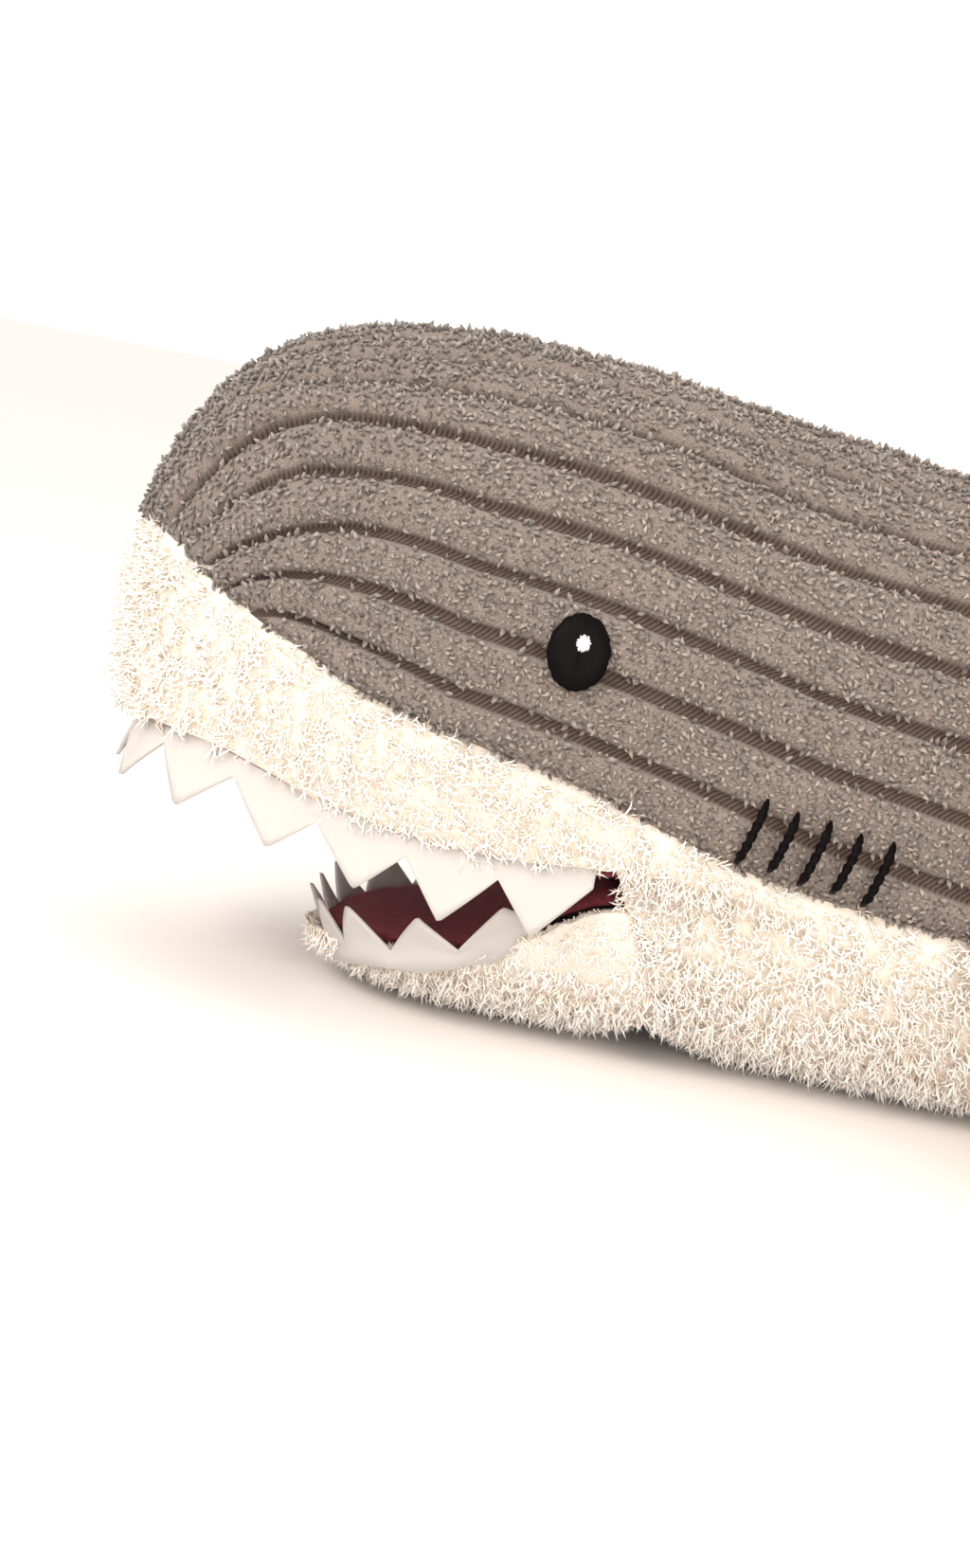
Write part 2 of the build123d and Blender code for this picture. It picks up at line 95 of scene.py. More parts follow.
def cast_section(tree, centre, forward, angles):
    """Points of one section on the left side, from rays that come in from outside to its centre."""
    points, owners = [], []
    for angle in angles:
        side = math.sqrt(1 - forward * forward)
        ray = Vector((-forward, -side * math.cos(angle), side * math.sin(angle)))
        hit, _, face, _ = tree[0].ray_cast(centre + ray * RAY_START, -ray)
        points.append(hit if hit else centre)
        owners.append(tree[1][face] if hit else -1)
    return points, owners


def core(x):
    """Point on the body's middle line at x, and how far along the line it is, from 0 to 1."""
    along = (x - NOSE_TURN) / (tail_end - NOSE_TURN)
    return Vector((x, 0, CORE_Z - CORE_FALL * along)), along


# sections fan round the snout in steps of 5 degrees, then follow each other 1.7 mm apart
body_tree = cad_tree(UPPER_NODES + LOWER_NODES)
ANGLES = np.radians(np.linspace(90, -90, 181))
tail_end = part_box("tail_stock_filling")[1].x
stations = [(math.radians(a), NOSE_TURN) for a in (*range(3, 84, 5), 87)]
stations += [(math.pi / 2, x) for x in np.arange(NOSE_TURN, tail_end - 0.0006, SECTION_STEP)]
POINTS, OWNER = [], []
for turn, x in stations:
    points, owners = cast_section(body_tree, core(x)[0], math.cos(turn), ANGLES)
    POINTS.append([tuple(p) for p in points])
    OWNER.append(owners)
POINTS, OWNER = np.array(POINTS), np.array(OWNER)
# the narrow gap that the CAD leaves round the tail stock is bridged from the sections beside it
GAP_STARTS, GAP_DEPTH, BRIDGE = 0.03, 0.0015, 3
radius = np.linalg.norm(POINTS[:, :, 1:], axis=2)
for i in range(BRIDGE, len(stations) - BRIDGE):
    near = np.median(radius[i - BRIDGE:i + BRIDGE + 1], axis=0)
    lost = (radius[i] < near - GAP_DEPTH) & (stations[i][1] > GAP_STARTS)
    POINTS[i, lost] = (POINTS[i - BRIDGE, lost] + POINTS[i + BRIDGE, lost]) / 2
    POINTS[i, lost, 0] = stations[i][1]
NORMAL = np.cross(np.gradient(POINTS, axis=1), np.gradient(POINTS, axis=0))
NORMAL /= np.linalg.norm(NORMAL, axis=2, keepdims=True) + 1e-12
facing = np.sign((NORMAL * (POINTS - np.array([-0.05, 0, 0.048]))).sum())
NORMAL *= facing
steps = np.linalg.norm(np.diff(POINTS, axis=1), axis=2)
ARC = np.concatenate([np.zeros((len(stations), 1)), np.cumsum(steps, axis=1)], axis=1)
lower = (OWNER < 0) | (OWNER >= len(UPPER_NODES))
seam_arc = np.array([ARC[i][max(np.argmax(lower[i]) - 1, 0)] for i in range(len(stations))])
# behind the snout, a section whose rays went into a gap takes its neighbours' seam
SNOUT_SECTIONS, AROUND = 30, 8
last = len(stations) - AROUND
for i in range(SNOUT_SECTIONS, len(stations)):
    seam_arc[i] = np.median(seam_arc[i - AROUND + 1:min(i + AROUND, last)]) if i < last \
        else seam_arc[last - 1]
SEAM = smooth(seam_arc, 6)
STATION_X = np.array([x if turn > 1.57 else POINTS[i, :, 0].min() for i, (turn, x) in enumerate(stations)])


def on_body(i, arc):
    """Point and normal on section i at these distances from the spine."""
    point = np.stack([np.interp(arc, ARC[i], POINTS[i, :, c]) for c in range(3)], axis=-1)
    normal = np.stack([np.interp(arc, ARC[i], NORMAL[i, :, c]) for c in range(3)], axis=-1)
    return point, normal / (np.linalg.norm(normal, axis=-1, keepdims=True) + 1e-12)


def wander(x, y, z=0.0):
    """Soft repeatable noise between about -1 and 1."""
    return noise.noise(Vector((x, y, z)))


def closed_end(rows):
    """Two more rows that draw the cloth in at the end of the tail stock."""
    for reach, narrow in ((1.6 * MM, 0.6), (2.6 * MM, 0.12)):
        last = rows[-1].copy()
        last[:, 0] += reach / 1.3
        last[:, 1] *= narrow
        rows.append(last)


def placed(name, data):
    """New object in the scene for a mesh, a lamp or a camera."""
    made = bpy.data.objects.new(name, data)
    bpy.context.scene.collection.objects.link(made)
    return made


def grid_object(name, grids, material, merge=1e-5):
    """Mesh from grids of points, each (rows[i][j], {attribute: values given the same way})."""
    points, quads, values = [], [], {}
    for rows, attributes in grids:
        rows = np.array(rows)
        n, m = rows.shape[:2]
        index = np.arange(n * m).reshape(n, m) + sum(len(p) for p in points)
        quads += np.stack([index[:-1, :-1], index[1:, :-1], index[1:, 1:], index[:-1, 1:]],
                          axis=-1).reshape(-1, 4).tolist()
        points.append(rows.reshape(-1, 3))
        for key, found in attributes.items():
            values.setdefault(key, []).append(np.array(found, float).reshape(n * m, -1))
    mesh = bpy.data.meshes.new(name)
    mesh.from_pydata(np.concatenate(points).tolist(), [], quads)
    for key, found in values.items():
        found = np.concatenate(found)
        if found.shape[1] == 2:
            layer = mesh.uv_layers.new(name=key)
            loops = np.zeros(len(mesh.loops), int)
            mesh.loops.foreach_get("vertex_index", loops)
            layer.data.foreach_set("uv", found[loops].ravel())
        elif found.shape[1] == 3:
            mesh.attributes.new(key, "FLOAT_VECTOR", "POINT").data.foreach_set("vector", found.ravel())
        else:
            mesh.attributes.new(key, "FLOAT", "POINT").data.foreach_set("value", found.ravel())
    mesh.materials.append(material)
    solid = bmesh.new()
    solid.from_mesh(mesh)
    bmesh.ops.remove_doubles(solid, verts=solid.verts, dist=merge)
    bmesh.ops.dissolve_degenerate(solid, dist=merge, edges=solid.edges)
    solid.to_mesh(mesh)
    solid.free()
    mesh.shade_smooth()
    return placed(name, mesh)


def linear(code, alpha=1.0):
    """sRGB hex colour as a linear colour."""
    parts = [int(code[i:i + 2], 16) / 255 for i in (0, 2, 4)]
    return [p / 12.92 if p <= 0.04045 else ((p + 0.055) / 1.055) ** 2.4 for p in parts] + [alpha]


def node(tree, kind, settings=None, **inputs):
    """Adds a node with its settings, its input values and its links."""
    made = tree.nodes.new(kind)
    for key, value in (settings or {}).items():
        setattr(made, key, value)
    for key, value in inputs.items():
        socket = made.inputs[int(key[1:])] if key[0] == "i" and key[1:].isdigit() else \
            made.inputs[key.replace("_", " ")]
        if isinstance(value, bpy.types.NodeSocket):
            tree.links.new(value, socket)
        else:
            socket.default_value = value
    return made


def new_material(name, roughness, sheen=0.0):
    """Material with a Principled shader, and its node tree."""
    material = bpy.data.materials.new(name)
    material.use_nodes = True
    shader = material.node_tree.nodes["Principled BSDF"]
    shader.inputs["Roughness"].default_value = roughness
    shader.inputs["Sheen Weight"].default_value = sheen
    shader.inputs["Sheen Roughness"].default_value = 0.6
    shader.inputs["Specular IOR Level"].default_value = 0.25
    return material, material.node_tree, shader


def ramp(tree, factor, *stops):
    """Colour ramp with (place, hex) stops."""
    made = node(tree, "ShaderNodeValToRGB", Fac=factor)
    while len(made.color_ramp.elements) < len(stops):
        made.color_ramp.elements.new(1.0)
    for element, (place, code) in zip(made.color_ramp.elements, stops):
        element.position = place
        element.color = linear(code)
    return made.outputs["Color"]


def pile_yarn(name, root, mid, tip, cool, sheen):
    """Cut polyester pile: soft and matt, with painted shade towards its roots, no two clumps quite alike.
    """
    material, tree, shader = new_material(name, 0.9, sheen)
    place = node(tree, "ShaderNodeTexCoord").outputs["Object"]
    broad = node(tree, "ShaderNodeTexNoise", Vector=place, Scale=55.0, Detail=3.0)
    level = node(tree, "ShaderNodeAttribute", {"attribute_name": "tip"}).outputs["Fac"]
    clump = node(tree, "ShaderNodeNewGeometry").outputs["Random Per Island"]
    shift = node(tree, "ShaderNodeMath", {"operation": "MULTIPLY_ADD"}, i0=clump, i1=0.42, i2=-0.36)
    shift = node(tree, "ShaderNodeMath", {"operation": "MULTIPLY_ADD"}, i0=broad.outputs["Fac"], i1=0.3,
                 i2=shift.outputs[0])
    # height along the strand darkens the colour towards the root: painted shade between the strands; the
    # random share per clump and the broad noise are the yarn's own uneven tone
    height = node(tree, "ShaderNodeMath", {"operation": "MULTIPLY_ADD"}, i0=level, i1=0.85,
                  i2=shift.outputs[0])
    colour = ramp(tree, height.outputs[0], (0.05, root), (0.45, mid), (0.85, tip))
    if cool:
        split = node(tree, "ShaderNodeSeparateXYZ", Vector=place)
        front = node(tree, "ShaderNodeMapRange", Value=split.outputs["X"], i1=-0.2, i2=-0.125, i3=1.0,
                     i4=0.0)
        mix = node(tree, "ShaderNodeMix", {"data_type": "RGBA", "blend_type": "MULTIPLY"})
        tree.links.new(front.outputs[0], mix.inputs["Factor"])
        tree.links.new(colour, mix.inputs[6])
        mix.inputs[7].default_value = linear(cool)
        colour = mix.outputs[2]
    tree.links.new(colour, shader.inputs["Base Color"])
    return material


# the dark root colour is painted shade at the foot of each clump
grey_yarn = pile_yarn("polyester cord pile", root="463C35", mid="72665D", tip="9C8F84", cool="E4E7F1",
                      sheen=0.25)

# woven ground: the twill shows in the grooves, and under the ribs the ground is the pile's colour darkened,
# as painted shade under the tufts
grey_ground, tree, shader = new_material("polyester twill ground", roughness=0.85, sheen=0.1)
uv = node(tree, "ShaderNodeUVMap", {"uv_map": "cord"}).outputs["UV"]
split = node(tree, "ShaderNodeSeparateXYZ", Vector=uv)
phase = node(tree, "ShaderNodeMath", {"operation": "PINGPONG"}, i0=split.outputs["Y"], i1=0.5)
bare = node(tree, "ShaderNodeMapRange", Value=phase.outputs[0], i1=0.09, i2=0.125, i3=1.0, i4=0.0)
# twill lines 0.8 mm apart, drawn twice as coarse as real ones so that they show
TWILL = 0.8 * MM
across = node(tree, "ShaderNodeMath", {"operation": "DIVIDE"}, i0=split.outputs["X"], i1=TWILL)
slant = node(tree, "ShaderNodeMath", {"operation": "MULTIPLY_ADD"}, i0=split.outputs["Y"],
             i1=RIB / TWILL, i2=across.outputs[0])
twill = node(tree, "ShaderNodeMath", {"operation": "PINGPONG"}, i0=slant.outputs[0], i1=0.5)
ground_colour = ramp(tree, twill.outputs[0], (0.05, "372A23"), (0.4, "604F45"))
# pile colour, darker than the lit tufts: painted shade under the tufts
under = ramp(tree, node(tree, "ShaderNodeTexNoise", Scale=700.0).outputs["Fac"], (0.35, "5E534C"),
             (0.65, "8B7E75"))
mix = node(tree, "ShaderNodeMix", {"data_type": "RGBA"})
tree.links.new(bare.outputs[0], mix.inputs["Factor"])
tree.links.new(under, mix.inputs[6])
tree.links.new(ground_colour, mix.inputs[7])
tree.links.new(mix.outputs[2], shader.inputs["Base Color"])
bump = node(tree, "ShaderNodeBump", Strength=0.5, Distance=0.0003, Height=twill.outputs[0])
tree.links.new(bump.outputs[0], shader.inputs["Normal"])


def strand_mesh(name, strands, oval=1.0, sides=3):
    """Small clump of curved strands, each (root x, root y, lean x, lean y, height, radius)."""
    verts, faces = [], []
    for rx, ry, lx, ly, height, thick in strands:
        base = len(verts)
        for level, width in ((0.0, 0.8), (0.7, 1.0)):
            bend = level * level
            for s in range(sides):
                a = 2 * math.pi * s / sides
                verts.append((rx + lx * bend + thick * width * math.cos(a),
                              ry + ly * bend + thick * width * oval * math.sin(a), height * level))
        verts.append((rx + lx, ry + ly, height))
        for s in range(sides):
            t = (s + 1) % sides
            faces.append((base + s, base + t, base + sides + t, base + sides + s))
            faces.append((base + sides + s, base + sides + t, base + 2 * sides))
    mesh = bpy.data.meshes.new(name)
    mesh.from_pydata(verts, [], faces)
    top = max(v[2] for v in verts)
    mesh.attributes.new("tip", "FLOAT", "POINT").data.foreach_set("value", [v[2] / top for v in verts])
    mesh.shade_smooth()
    return placed(name, mesh)


def pile_tree(name, branches):
    """Geometry Nodes that grow pile on a cover. branches: (attribute, clump, material, tilt)."""
    group = bpy.data.node_groups.new(name, "GeometryNodeTree")
    face = group.interface
    face.new_socket("Cover", in_out="INPUT", socket_type="NodeSocketGeometry")
    for attribute, *_ in branches:
        face.new_socket(f"{attribute} spacing", in_out="INPUT", socket_type="NodeSocketFloat")
        face.new_socket(f"{attribute} size", in_out="INPUT", socket_type="NodeSocketFloat")
    face.new_socket("Seed", in_out="INPUT", socket_type="NodeSocketInt")
    face.new_socket("Cover", in_out="OUTPUT", socket_type="NodeSocketGeometry")
    start, end = group.nodes.new("NodeGroupInput"), group.nodes.new("NodeGroupOutput")
    join = group.nodes.new("GeometryNodeJoinGeometry")
    group.links.new(start.outputs["Cover"], join.inputs[0])
    nap = node(group, "GeometryNodeInputNamedAttribute", {"data_type": "FLOAT_VECTOR"}, Name="nap")
    for attribute, clump, material, tilt in branches:
        where = node(group, "GeometryNodeInputNamedAttribute", {"data_type": "FLOAT"}, Name=attribute)
        spread = node(group, "GeometryNodeDistributePointsOnFaces", {"distribute_method": "POISSON"},
                      Mesh=start.outputs["Cover"], Density_Max=5e6, Seed=start.outputs["Seed"])
        group.links.new(start.outputs[f"{attribute} spacing"], spread.inputs["Distance Min"])
        group.links.new(where.outputs["Attribute"], spread.inputs["Density Factor"])
        loose = node(group, "FunctionNodeRandomValue", {"data_type": "FLOAT_VECTOR"}, Seed=7)
        loose.inputs["Min"].default_value = (-tilt,) * 3
        loose.inputs["Max"].default_value = (tilt,) * 3
        lean = node(group, "ShaderNodeVectorMath", {"operation": "ADD"}, i0=spread.outputs["Normal"],
                    i1=nap.outputs["Attribute"])
        lean = node(group, "ShaderNodeVectorMath", {"operation": "ADD"}, i0=lean.outputs[0],
                    i1=loose.outputs["Value"])
        turn = node(group, "FunctionNodeAlignRotationToVector", {"axis": "Z"}, Vector=lean.outputs[0])
        spin = node(group, "FunctionNodeRandomValue", {"data_type": "FLOAT"}, Seed=11)
        spin.inputs[2].default_value, spin.inputs[3].default_value = 0.0, 6.283
        about = node(group, "FunctionNodeAxisAngleToRotation", Angle=spin.outputs[1])
        about.inputs["Axis"].default_value = (0, 0, 1)
        turned = node(group, "FunctionNodeRotateRotation", {"rotation_space": "LOCAL"},
                      i0=turn.outputs[0], i1=about.outputs[0])
        grow = node(group, "FunctionNodeRandomValue", {"data_type": "FLOAT"}, Seed=13)
        grow.inputs[2].default_value, grow.inputs[3].default_value = 0.75, 1.3
        size = node(group, "ShaderNodeMath", {"operation": "MULTIPLY"}, i0=grow.outputs[1],
                    i1=start.outputs[f"{attribute} size"])
        shape = node(group, "GeometryNodeObjectInfo")
        shape.inputs["Object"].default_value = clump
        put = node(group, "GeometryNodeInstanceOnPoints", Points=spread.outputs["Points"],
                   Instance=shape.outputs["Geometry"], Rotation=turned.outputs[0], Scale=size.outputs[0])
        real = node(group, "GeometryNodeRealizeInstances", Geometry=put.outputs[0])
        dyed = node(group, "GeometryNodeSetMaterial", Geometry=real.outputs[0])
        dyed.inputs["Material"].default_value = material
        group.links.new(dyed.outputs[0], join.inputs[0])
    group.links.new(join.outputs[0], end.inputs[0])
    return group


def keep_result(piece):
    """Puts what a piece's modifiers make in the place of its mesh, and clears them."""
    bpy.context.view_layer.update()
    mesh = bpy.data.meshes.new_from_object(piece.evaluated_get(bpy.context.evaluated_depsgraph_get()))
    piece.modifiers.clear()
    old, piece.data = piece.data, mesh
    bpy.data.meshes.remove(old)
    mesh.name = piece.name


def grow_pile(piece, seed, grey_size=1.0, cream_size=1.0):
    """Grows the pile on a piece's cover and keeps the result as its plain mesh."""
    sizes = {"grey_pile spacing": 0.78 * MM, "grey_pile size": grey_size,
             "cream_pile spacing": 1.45 * MM, "cream_pile size": cream_size, "Seed": seed}
    modifier = piece.modifiers.new("pile", "NODES")
    modifier.node_group = cover_pile
    for item in cover_pile.interface.items_tree:
        if item.in_out == "INPUT" and item.name in sizes:
            modifier[item.identifier] = sizes[item.name]
    keep_result(piece)
    for extra in ("nap", "grey_pile", "cream_pile"):
        if extra in piece.data.attributes:
            piece.data.attributes.remove(piece.data.attributes[extra])
    piece.data.shade_smooth()


grey_clump = strand_mesh("cord clump", [(0, 0, 0.0008, 0.0001, 0.00092, 0.00052)], oval=0.6)
cream_clump = strand_mesh("sherpa clump", [
    (0, 0, 0.0016, 0.0006, 0.0027, 0.00016),
    (0.0006, 0.0002, -0.0010, 0.0013, 0.0025, 0.00015),
    (-0.0004, 0.0006, 0.0003, -0.0017, 0.0025, 0.00016),
    (0.0002, -0.0006, -0.0016, -0.0003, 0.0026, 0.00016),
    (-0.0006, -0.0003, 0.0009, 0.0014, 0.0021, 0.00018),
    (0.0004, 0.0007, 0.0013, -0.0009, 0.0018, 0.00018)])
# the darker root colour is painted shade at the foot of each clump
cream_yarn = pile_yarn("sherpa fleece pile", root="E9DCCB", mid="FAF1E6", tip="FFFDFA", cool=None,
                       sheen=0.35)
cover_pile = pile_tree("cover pile", [("grey_pile", grey_clump, grey_yarn, 0.75),
                                      ("cream_pile", cream_clump, cream_yarn, 0.85)])
RIBS = 12                   # ribs a side from the spine down, before the seam cuts them off
TUCK = 3.0 * MM             # how far the edges are turned in
SNOUT_TIP = -0.184          # x where the cloth is gathered
ROW_PLACES = [0.0, 0.07, 0.11, 0.16, 0.26, 0.4, 0.6, 0.74, 0.84, 0.89, 0.93]


def rib_spread(x):
    """How far the stuffing spreads the ribs: close together on the snout, wider on the back."""
    return float(np.interp(x, [-0.2, -0.184, -0.143, -0.09, 0.0], [0.74, 0.8, 1.0, 1.1, 1.1]))


first_upper = next(i for i in range(len(stations)) if SEAM[i] > 0.001)


def back_cover(side, sign):
    """One back cover, from rows of points that cross its ribs from the spine to the seam."""
    phases = np.array([k + f for k in range(RIBS) for f in ROW_PLACES] + [RIBS])
    inside = np.minimum(phases % 1, 1 - phases % 1)         # 0 in the groove, 0.5 on top of the rib
    crown = np.clip((inside - 0.085) / 0.11, 0, 1)
    crown = np.sqrt(1 - (1 - crown) ** 2)
    rows, cord, pile, nap = [], [], [], []
    walked = 0.0
    for i in range(first_upper, len(stations)):
        x = STATION_X[i]
        walked += 0.0 if i == first_upper else np.linalg.norm(POINTS[i, 60] - POINTS[i - 1, 60])
        pitch = RIB * rib_spread(x)
        # the ribs wander a little, more beside the spine and on the snout
        fold = math.exp(-((x + 0.178) / 0.014) ** 2)
        arcs = np.array([p * pitch + 0.0008 * wander(x * 28, math.floor(p) * 1.7, 3.1)
                         + 0.0012 * wander(x * 60, math.floor(p) * 2.9, 8.1) * max(0, 1 - p / 6)
                         + 0.0016 * math.sin((x + 0.10) * 85 + p * 0.5) * max(0, 1 - p / 5) * min(p, 1)
                         + 0.0022 * fold * math.sin(p * 1.3) for p in phases])
        arcs[0] = 0.0
        seam = SEAM[i]
        clamped = np.minimum(arcs, seam)
        point, normal = on_body(i, clamped)
        top = np.clip(1 - arcs / 0.055, 0, 1)
        swell = 1 + 0.9 * top
        height = -1.1 * MM + (crown - 1) * PILE * swell \
            + 0.5 * MM * np.sin(np.pi * np.clip((inside - 0.1) / 0.4, 0, 1) / 2)
        lump = np.array([0.9 * MM * wander(x * 22, a * 30, 0.4) + 0.6 * MM * wander(x * 60, a * 70, 5.5)
                         for a in clamped])
        # the cloth is gathered in small folds over the tip of the snout
        gather = math.exp(-((x - SNOUT_TIP) / 0.011) ** 2)
        lump -= gather * 2.4 * MM * np.exp(-((clamped - 0.034) / 0.006) ** 2)
        lump += gather * 1.3 * MM * np.exp(-((clamped - 0.024) / 0.006) ** 2)
        # and turned in at the seam and at the spine
        edge = np.clip((seam - clamped) / (1.6 * MM), 0, 1)
        height = np.where(clamped >= seam, -TUCK, (height + lump) * edge - TUCK * (1 - edge))
        spine = np.clip(clamped / (1.2 * MM), 0, 1)
        height = height * spine - TUCK * (1 - spine)
        place = point + normal * height[:, None]
        place[0, 1] = 0.0
        place[:, 1] *= -sign
        rows.append(place)
        cord.append(np.stack([np.full(len(arcs), walked),
                              np.where(clamped < arcs, seam / pitch, phases)], axis=1))
        pile.append(np.clip((inside - 0.122 - 0.03 * top) / 0.04, 0, 1)
                    * np.clip((seam - clamped) / (0.4 * MM), 0, 1))
        nap.append([(0.15, 0.0, -0.35)] * len(arcs))
    closed_end(rows)
    for values in (cord, pile, nap):
        values += [values[-1], values[-1]]
    order = slice(None, None, sign)
    piece = grid_object(f"back_cover_{side}", [(np.array(rows)[:, order], {
        "cord": np.array(cord)[:, order], "grey_pile": np.array(pile)[:, order],
        "nap": np.array(nap)[:, order]})], grey_ground)
    grow_pile(piece, 3)
    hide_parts(f"back_panel_{side}", f"tail_stock_panel_{side}")
    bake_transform(piece)


joints = {j["name"]: j for j in frame["joints"]}
for side, sign in (("left", -1), ("right", 1)):
    back_cover(side, sign)

# ------------------------------------------------------------
# Sherpa underside: one soft cream skin from the seam down, which makes the upper lip, the cheeks,
# the chest and the belly. In front it ends at the lip and at the fold behind the lower jaw.
# ------------------------------------------------------------
CHEEK = [(-0.1145, 0.0295), (-0.111, 0.0225), (-0.108, 0.0165), (-0.1045, 0.009), (-0.1015, 0.0035)]
CHEEK_END = -0.080          # x behind which the lower jaw no longer cuts into the cheek
CHEEK_INNER = 0.036         # the cheek is nowhere nearer than this to the middle line
SHERPA = 2.9 * MM           # how far the backing lies under the tips of the pile
OVERLAP = 2.2 * MM          # how far it runs up under the grey cover
COLUMNS = 46                # points from the seam to the lip or the middle of the belly
whole_tree = cad_tree(UPPER_NODES + LOWER_NODES + ["jaw_cover"])
lip_nodes = {len(UPPER_NODES), len(UPPER_NODES) + 1}


def underside_section(i):
    """Arc from the spine, point and normal of section i with the cheek closed, and where it ends."""
    x = STATION_X[i]
    if x < CHEEK[0][0]:
        below = np.argmax(lower[i])
        past = [k for k in range(below, len(ANGLES)) if OWNER[i][k] not in lip_nodes]
        return ARC[i], POINTS[i], NORMAL[i], ARC[i][min(past, default=len(ANGLES)) - 1]
    if i not in cheek:
        return ARC[i], POINTS[i], NORMAL[i], ARC[i][-1]
    points = cast[cheek.index(i)]
    arc = np.concatenate([[0], np.cumsum(np.linalg.norm(np.diff(points, axis=0), axis=1))])
    down = np.gradient(points, axis=0)
    normal = np.stack([np.zeros(len(points)), down[:, 2], -down[:, 1]], axis=1)
    normal /= np.linalg.norm(normal, axis=1, keepdims=True) + 1e-12
    end = arc[-1]
    if x < CHEEK[-1][0]:
        edge_z = np.interp(x, *zip(*CHEEK))
        below = np.flatnonzero((points[:, 2] < edge_z) & (points[:, 2] < 0.04))
        end = arc[below[0]] if len(below) else arc[-1]
    return arc, points, normal, end


cheek = [i for i in range(len(stations)) if CHEEK[0][0] <= STATION_X[i] <= CHEEK_END]
cast = []
for i in cheek:
    centre, along = core(stations[i][1])
    found, _ = cast_section(whole_tree, centre, 0.0, ANGLES)
    found = np.array([tuple(p) for p in found])
    # rays that went in at the corner of the mouth or behind the jaw are bridged from those beside them
    good = (found[:, 2] - CORE_Z + CORE_FALL * along) * np.sin(ANGLES) \
        - found[:, 1] * np.cos(ANGLES) > CHEEK_INNER
    for column in (1, 2):
        found[:, column] = np.interp(ANGLES[::-1], ANGLES[good][::-1], found[good, column][::-1])[::-1]
    cast.append(found)
cast = smooth(cast, 14)
for _ in range(5):
    cast[:, 1:-1] = (cast[:, :-2] + 2 * cast[:, 1:-1] + cast[:, 2:]) / 4
sections = [underside_section(i) for i in range(len(stations))]
ends = np.array([section[3] for section in sections])
in_mouth = STATION_X < CHEEK[0][0]
ends[in_mouth] = smooth(ends[in_mouth], 4)
grids = []
for sign in (-1, 1):
    rows, pile, nap = [], [], []
    for i in range(len(stations)):
        arc, points, normals, _ = sections[i]
        start = max(SEAM[i] - OVERLAP, 0.0) if SEAM[i] > 0.001 else 0.0
        arcs = np.linspace(start, ends[i], COLUMNS)
        point = np.stack([np.interp(arcs, arc, points[:, c]) for c in range(3)], axis=1)
        normal = np.stack([np.interp(arcs, arc, normals[:, c]) for c in range(3)], axis=1)
        normal /= np.linalg.norm(normal, axis=1, keepdims=True) + 1e-12
        below = np.clip((arcs - SEAM[i]) / (3 * MM), -1, 1)
        plump = np.array([1.2 * MM * wander(p[0] * 30 + 7, p[1] * 30 * -sign, p[2] * 40) for p in point])
        height = np.where(below > 0, -SHERPA + plump * below + 0.9 * MM * below,
                          -SHERPA + 1.3 * MM * below)
        place = point + normal * height[:, None]
        meets_below = abs(point[-1, 1]) < 3 * MM
        if in_mouth[i] and not meets_below:         # the lip is rolled in
            place[-1] = place[-2] + (place[-1] - place[-2]) * 0.2
            place[-1, 1] *= 0.93
            place[-1, 2] += 0.8 * MM
        if meets_below:
            place[-1, 1] = 0
        if start == 0:
            place[0, 1] = 0
        place[:, 1] *= -sign
        place[:, 1][np.abs(place[:, 1]) < 2e-5] = 0
        rows.append(place)
        mask = np.clip((arcs - SEAM[i]) / (0.8 * MM) - 0.6, 0, 1)
        if in_mouth[i] and not meets_below:
            mask *= np.clip((ends[i] - arcs) / (2.5 * MM), 0, 1) ** 2
        pile.append(mask)
        nap.append([(0.25, 0.0, -0.3)] * COLUMNS)
    closed_end(rows)
    for values in (pile, nap):
        values += [values[-1], values[-1]]
    order = slice(None, None, sign)
    grids.append((np.array(rows)[:, order], {"cream_pile": np.array(pile)[:, order],
                                             "nap": np.array(nap)[:, order]}))


def fibrous(name, roughness, sheen, scale, dark, light, bump=None, **kind):
    """Cloth or thread with fine fibres in two shades; bump is its strength and depth."""
    material, tree, shader = new_material(name, roughness, sheen)
    fibre = node(tree, "ShaderNodeTexNoise", Scale=scale, **kind).outputs["Fac"]
    tree.links.new(ramp(tree, fibre, dark, light), shader.inputs["Base Color"])
    if bump:
        raised = node(tree, "ShaderNodeBump", Strength=bump[0], Distance=bump[1], Height=fibre)
        tree.links.new(raised.outputs[0], shader.inputs["Normal"])
    return material


# knitted backing of the fleece: dull cream, nearly hidden by its pile
cream_knit = fibrous("polyester fleece backing", 0.9, 0.2, 900.0, (0.3, "E6D8C8"), (0.65, "F8EEE2"),
                     (0.6, 0.0004), Detail=2.0)
underside = grid_object("underside_cover", grids, cream_knit)
grow_pile(underside, 5)
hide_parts("upper_lip_panel", "belly_panel", "tail_stock_belly", "torso_filling",
            "tail_stock_filling")
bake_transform(underside)

# ------------------------------------------------------------
# Lower jaw: a stuffed sherpa shell, hinged at the corners of the mouth. Its back end is drawn in
# under the cheeks.
# ------------------------------------------------------------
def remeshed(name, nodes, voxel, relax, material):
    """Soft copy of some CAD nodes: their solids in one mesh, remeshed and relaxed."""
    solid = bmesh.new()
    for cad in nodes:
        solid.from_mesh(frame["nodes"][cad].data)
    mesh = bpy.data.meshes.new(name)
    solid.to_mesh(mesh)
    solid.free()
    piece = placed(name, mesh)
    modifier = piece.modifiers.new("voxels", "REMESH")
    modifier.mode, modifier.voxel_size = "VOXEL", voxel
    even = piece.modifiers.new("relax", "SMOOTH")
    even.factor, even.iterations = 0.5, relax
    keep_result(piece)
    piece.data.materials.clear()
    piece.data.materials.append(material)
    piece.data.shade_smooth()
    return piece


def vertex_arrays(mesh):
    """Places and normals of a mesh's vertices."""
    places = np.zeros(len(mesh.vertices) * 3)
    mesh.vertices.foreach_get("co", places)
    normals = np.array([v.normal[:] for v in mesh.vertices])
    return places.reshape(-1, 3), normals


